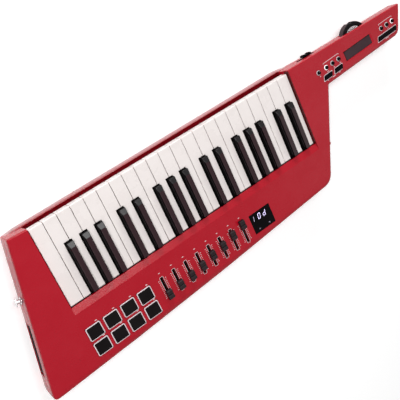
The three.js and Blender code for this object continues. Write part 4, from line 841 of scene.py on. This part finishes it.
# Strap buttons: turned and plated steel knobs, one on the tail wall and one by the neck's root.
# Each is held by its own screw.
strap_chrome = moulded("strap_chrome", colour=(0.78, 0.77, 0.77), handled=(0.66, 0.65, 0.66),
                       roughness=0.2, polished=0.12, grain_size=1200.0, grain_depth=0.00001,
                       metallic=1.0)
for strap in ("strap_button_tail", "strap_button_neck"):
    dress(strap, strap + "_turned", strap_chrome, width=0.0003)

# Jack bay: a black moulded cup in the tail wall with a nickel-nutted phone jack, a round
# five-pole socket, a data socket and a power socket in its back wall.
bay_black = moulded("bay_black", colour=(0.014, 0.013, 0.013), handled=(0.022, 0.020, 0.020),
                    roughness=0.5, polished=0.4, grain_size=1000.0, grain_depth=0.00005,
                    specular=0.4)
dress("jack_panel", "jack_cup", bay_black, width=0.0003)
WALL_START = np.array([-34.2, 6.3])
WALL_END = np.array([-91.3, -245.3])
BAY_Y = -128.0
BAY_MIDDLE = -26.0
BAY_BACK = 12.5
wall_along = (WALL_END - WALL_START) / np.linalg.norm(WALL_END - WALL_START)
wall_inwards = np.array([-wall_along[1], wall_along[0]])
bay_origin = WALL_START + wall_along * ((BAY_Y - WALL_START[1]) / wall_along[1])


def in_bay(part, along, inwards):
    """A part that is built round Z set in the bay's back wall: its Z runs out of the bay against
    the wall's inward direction, its X along the wall and its Y up."""
    verts, faces = part
    along_axis = np.array([*wall_along, 0])
    inward_axis = np.array([*wall_inwards, 0])
    origin = np.array([*bay_origin, BAY_MIDDLE]) + along * along_axis + inwards * inward_axis
    basis = np.array([along_axis, [0, 0, 1], -inward_axis])
    return origin + np.asarray(verts) @ basis, faces


def ring_round(outer, inner, low, high, count=40, ease=0.25):
    """A ring round the Z axis whose section is a box with its two upper corners cut by the ease."""
    section = [(inner, low), (outer, low), (outer, high - ease), (outer - ease, high),
               (inner + ease, high), (inner, high - ease)]
    return moulding_round(polar_rings(*np.transpose(section), count))


# Where each socket stands along the wall from the bay's place, and how far in it starts
PHONE_U, PHONE_IN = 9, BAY_BACK - 4
ROUND_U, ROUND_IN, ROUND_FACE_IN = 31, BAY_BACK - 2, BAY_BACK + 1.2
DATA_U, DATA_IN, DATA_TONGUE_IN = 54, BAY_BACK - 2, BAY_BACK + 1.6
POWER_U = 73
data_section = [  # width, depth, height
    (11.0, 9.5, 0.5), (11.0, 9.5, -0.05), (12.6, 11.1, -0.05), (12.6, 11.1, 0.5)]
data_frame = moulding_round([round_cornered(width, depth, radius=1.0, height=height, steps=4)
                             for width, depth, height in data_section])
power_pin = skin_over(polar_rings([0.9, 0.9, 0.6, 0.2], [-3.5, 1.2, 1.7, 1.9], count=16))
nickel_parts = [
    in_bay(ring_round(outer=5.9, inner=3.5, low=-0.05, high=1.2, count=6, ease=0.3),
           PHONE_U, PHONE_IN),
    in_bay(ring_round(outer=4.4, inner=3.3, low=-0.05, high=1.9), PHONE_U, PHONE_IN),
    in_bay(ring_round(outer=8.6, inner=7.0, low=-0.05, high=0.5), ROUND_U, ROUND_IN),
    in_bay(data_frame, DATA_U, DATA_IN),
    in_bay(power_pin, POWER_U, BAY_BACK)]
nickel = moulded("nickel", colour=(0.62, 0.60, 0.57), handled=(0.50, 0.48, 0.46), roughness=0.3,
                 polished=0.2, grain_depth=0.00001, metallic=1.0)
piece_of("jack_fittings", nickel_parts, nickel)
pole_plate = skin_over(polar_rings([6.7, 6.7, 0.3], [-2.2, 0.1, 0.1], count=40))
data_tongue = rounded_bar(width=7.6, depth=2.6, radius=0.3, low=-2.0, high=2.4, steps=3)
insert_parts = [in_bay(pole_plate, ROUND_U, ROUND_FACE_IN),
                in_bay(data_tongue, DATA_U, DATA_TONGUE_IN)]
insert_grey = moulded("insert_grey", colour=(0.035, 0.034, 0.036), handled=(0.045, 0.044, 0.046),
                      roughness=0.45, polished=0.35, grain_depth=0.00002)
piece_of("jack_inserts", insert_parts, insert_grey)
POLE_CIRCLE = 4.4
pole = skin_over(polar_rings([0.95, 0.95, 0.5], [0.0, 0.25, 0.3], count=14))
poles = [in_bay(moved(pole, POLE_CIRCLE * math.cos(angle), POLE_CIRCLE * math.sin(angle)),
                ROUND_U, ROUND_FACE_IN) for angle in np.radians([-180, -135, -90, -45, 0])]
piece_of("jack_poles", poles, nickel)

# Case screws: cross-head screws of dark steel in the seats of the underside, which hold the two
# shells together.
BODY_LENGTH = 517.0
RAIL_REAR = 160.0
REAR_SPAN = 85.3
UNDERSIDE = -43.0
SEAT_DEPTH = 1.4
CROSS_WIDTH, CROSS_REACH, CROSS_DEPTH = 0.3, 1.35, 0.55
SCREW_POINTS = 64
screw_shares = [  # share of the body's length from the keys' tail end, share of the rear span
    (-0.06, 0.047), (0.24, 0.047), (0.5, 0.047), (0.76, 0.047), (-0.12, 0.799), (0.45, 0.741),
    (0.85, 0.597)]
screw_radii = np.array([2.2, 2.2, 1.9, 1.6, 1.3, 1.0, 0.7, 0.4, 0.1])
screw_dome = np.array([0.02, 0.45, 0.75, 0.92, 1.0, 1.05, 1.1, 1.1, 1.1])
screw_angles = np.linspace(0, 2 * math.pi, SCREW_POINTS, endpoint=False)
across_x = np.abs(screw_radii[:, None] * np.cos(screw_angles))
across_y = np.abs(screw_radii[:, None] * np.sin(screw_angles))
in_cross = ((np.minimum(across_x, across_y) < CROSS_WIDTH)
            & (np.maximum(across_x, across_y) < CROSS_REACH))
screw_verts, screw_faces = skin_over(polar_rings(
    screw_radii, screw_dome[:, None] - CROSS_DEPTH * in_cross, SCREW_POINTS))
facing_down = screw_verts * [1, -1, -1]
screws = [moved((facing_down, screw_faces), along * BODY_LENGTH, -RAIL_REAR - back * REAR_SPAN,
                UNDERSIDE + SEAT_DEPTH) for along, back in screw_shares]
screw_steel = moulded("screw_steel", colour=(0.10, 0.10, 0.11), handled=(0.16, 0.16, 0.17),
                      roughness=0.4, polished=0.3, grain_depth=0.00002, metallic=1.0)
piece_of("case_screws", screws, screw_steel, smooth_angle=50)

# Table and light: a plain white table under soft studio light. The table gets paler away from the
# object, so that its far end and the white backdrop look the same.
FLOOR_REACH = 9
FLOOR_DROP = 0.0004
floor_mesh = bpy.data.meshes.new("floor")
floor_mesh.from_pydata([(x * FLOOR_REACH, y * FLOOR_REACH, 0)
                        for x, y in ((-1, -1), (1, -1), (1, 1), (-1, 1))], [], [(0, 1, 2, 3)])
floor = bpy.data.objects.new("floor", floor_mesh)
floor.location.z = -FLOOR_DROP
bpy.context.scene.collection.objects.link(floor)
floor_white = bpy.data.materials.new("floor_white")
floor_white.use_nodes = True
floor_tree = floor_white.node_tree
floor_shader = floor_tree.nodes["Principled BSDF"]
set_inputs(floor_shader, {"Base Color": (0.93, 0.93, 0.93, 1), "Roughness": 0.9,
                          "Specular IOR Level": 0.0, "Emission Color": (1, 1, 1, 1)})
floor_rays = floor_tree.nodes.new("ShaderNodeLightPath").outputs
floor_place = floor_tree.nodes.new("ShaderNodeTexCoord")
floor_away = floor_tree.nodes.new("ShaderNodeVectorMath")
floor_away.operation = "LENGTH"
floor_tree.links.new(floor_place.outputs["Object"], floor_away.inputs[0])
floor_pale = spread(floor_tree, floor_away.outputs["Value"], low=0.9, high=2.6, to_low=0.3)
floor_seen = worked(floor_tree, "MAXIMUM", floor_rays["Is Camera Ray"],
                    floor_rays["Is Glossy Ray"])
floor_tree.links.new(worked(floor_tree, "MULTIPLY", floor_seen, floor_pale),
                     floor_shader.inputs["Emission Strength"])
floor_mesh.materials.append(floor_white)

# The backdrop is white where it is seen or mirrored, and lights all else weakly
world = bpy.data.worlds.new("studio")
bpy.context.scene.world = world
world.use_nodes = True
sky_tree = world.node_tree
sky = sky_tree.nodes["Background"]
sky.inputs["Color"].default_value = (1, 1, 1, 1)
sky_rays = sky_tree.nodes.new("ShaderNodeLightPath").outputs
sky_seen = worked(sky_tree, "MAXIMUM", worked(sky_tree, "MAXIMUM", sky_rays["Is Camera Ray"],
                                              sky_rays["Is Transmission Ray"]),
                  sky_rays["Is Glossy Ray"])
sky_level = spread(sky_tree, sky_seen, low=0, high=1, to_low=0.18)
sky_tree.links.new(sky_level, sky.inputs["Strength"])


def soft_lamp(name, place, size, power):
    """A square area lamp at a place, turned so that its face looks at the object."""
    data = bpy.data.lights.new(name, "AREA")
    data.shape = "SQUARE"
    data.size = size
    data.energy = power
    lamp = bpy.data.objects.new(name, data)
    lamp.location = place
    lamp.rotation_euler = (-Vector(place)).to_track_quat("-Z", "Y").to_euler()
    bpy.context.scene.collection.objects.link(lamp)


soft_lamp("slope_softbox", (0.12, 0.76, 1.88), size=0.6, power=9)
soft_lamp("neck_softbox", (2.0, -0.9, 1.95), size=1.2, power=3.8)
soft_lamp("key_softbox", (-1.05, 0.75, 1.98), size=0.8, power=25)
soft_lamp("front_softbox", (0.5, 2.2, 0.7), size=1.0, power=29)
soft_lamp("edge_softbox", (-1.15, -0.65, 1.8), size=0.4, power=3)
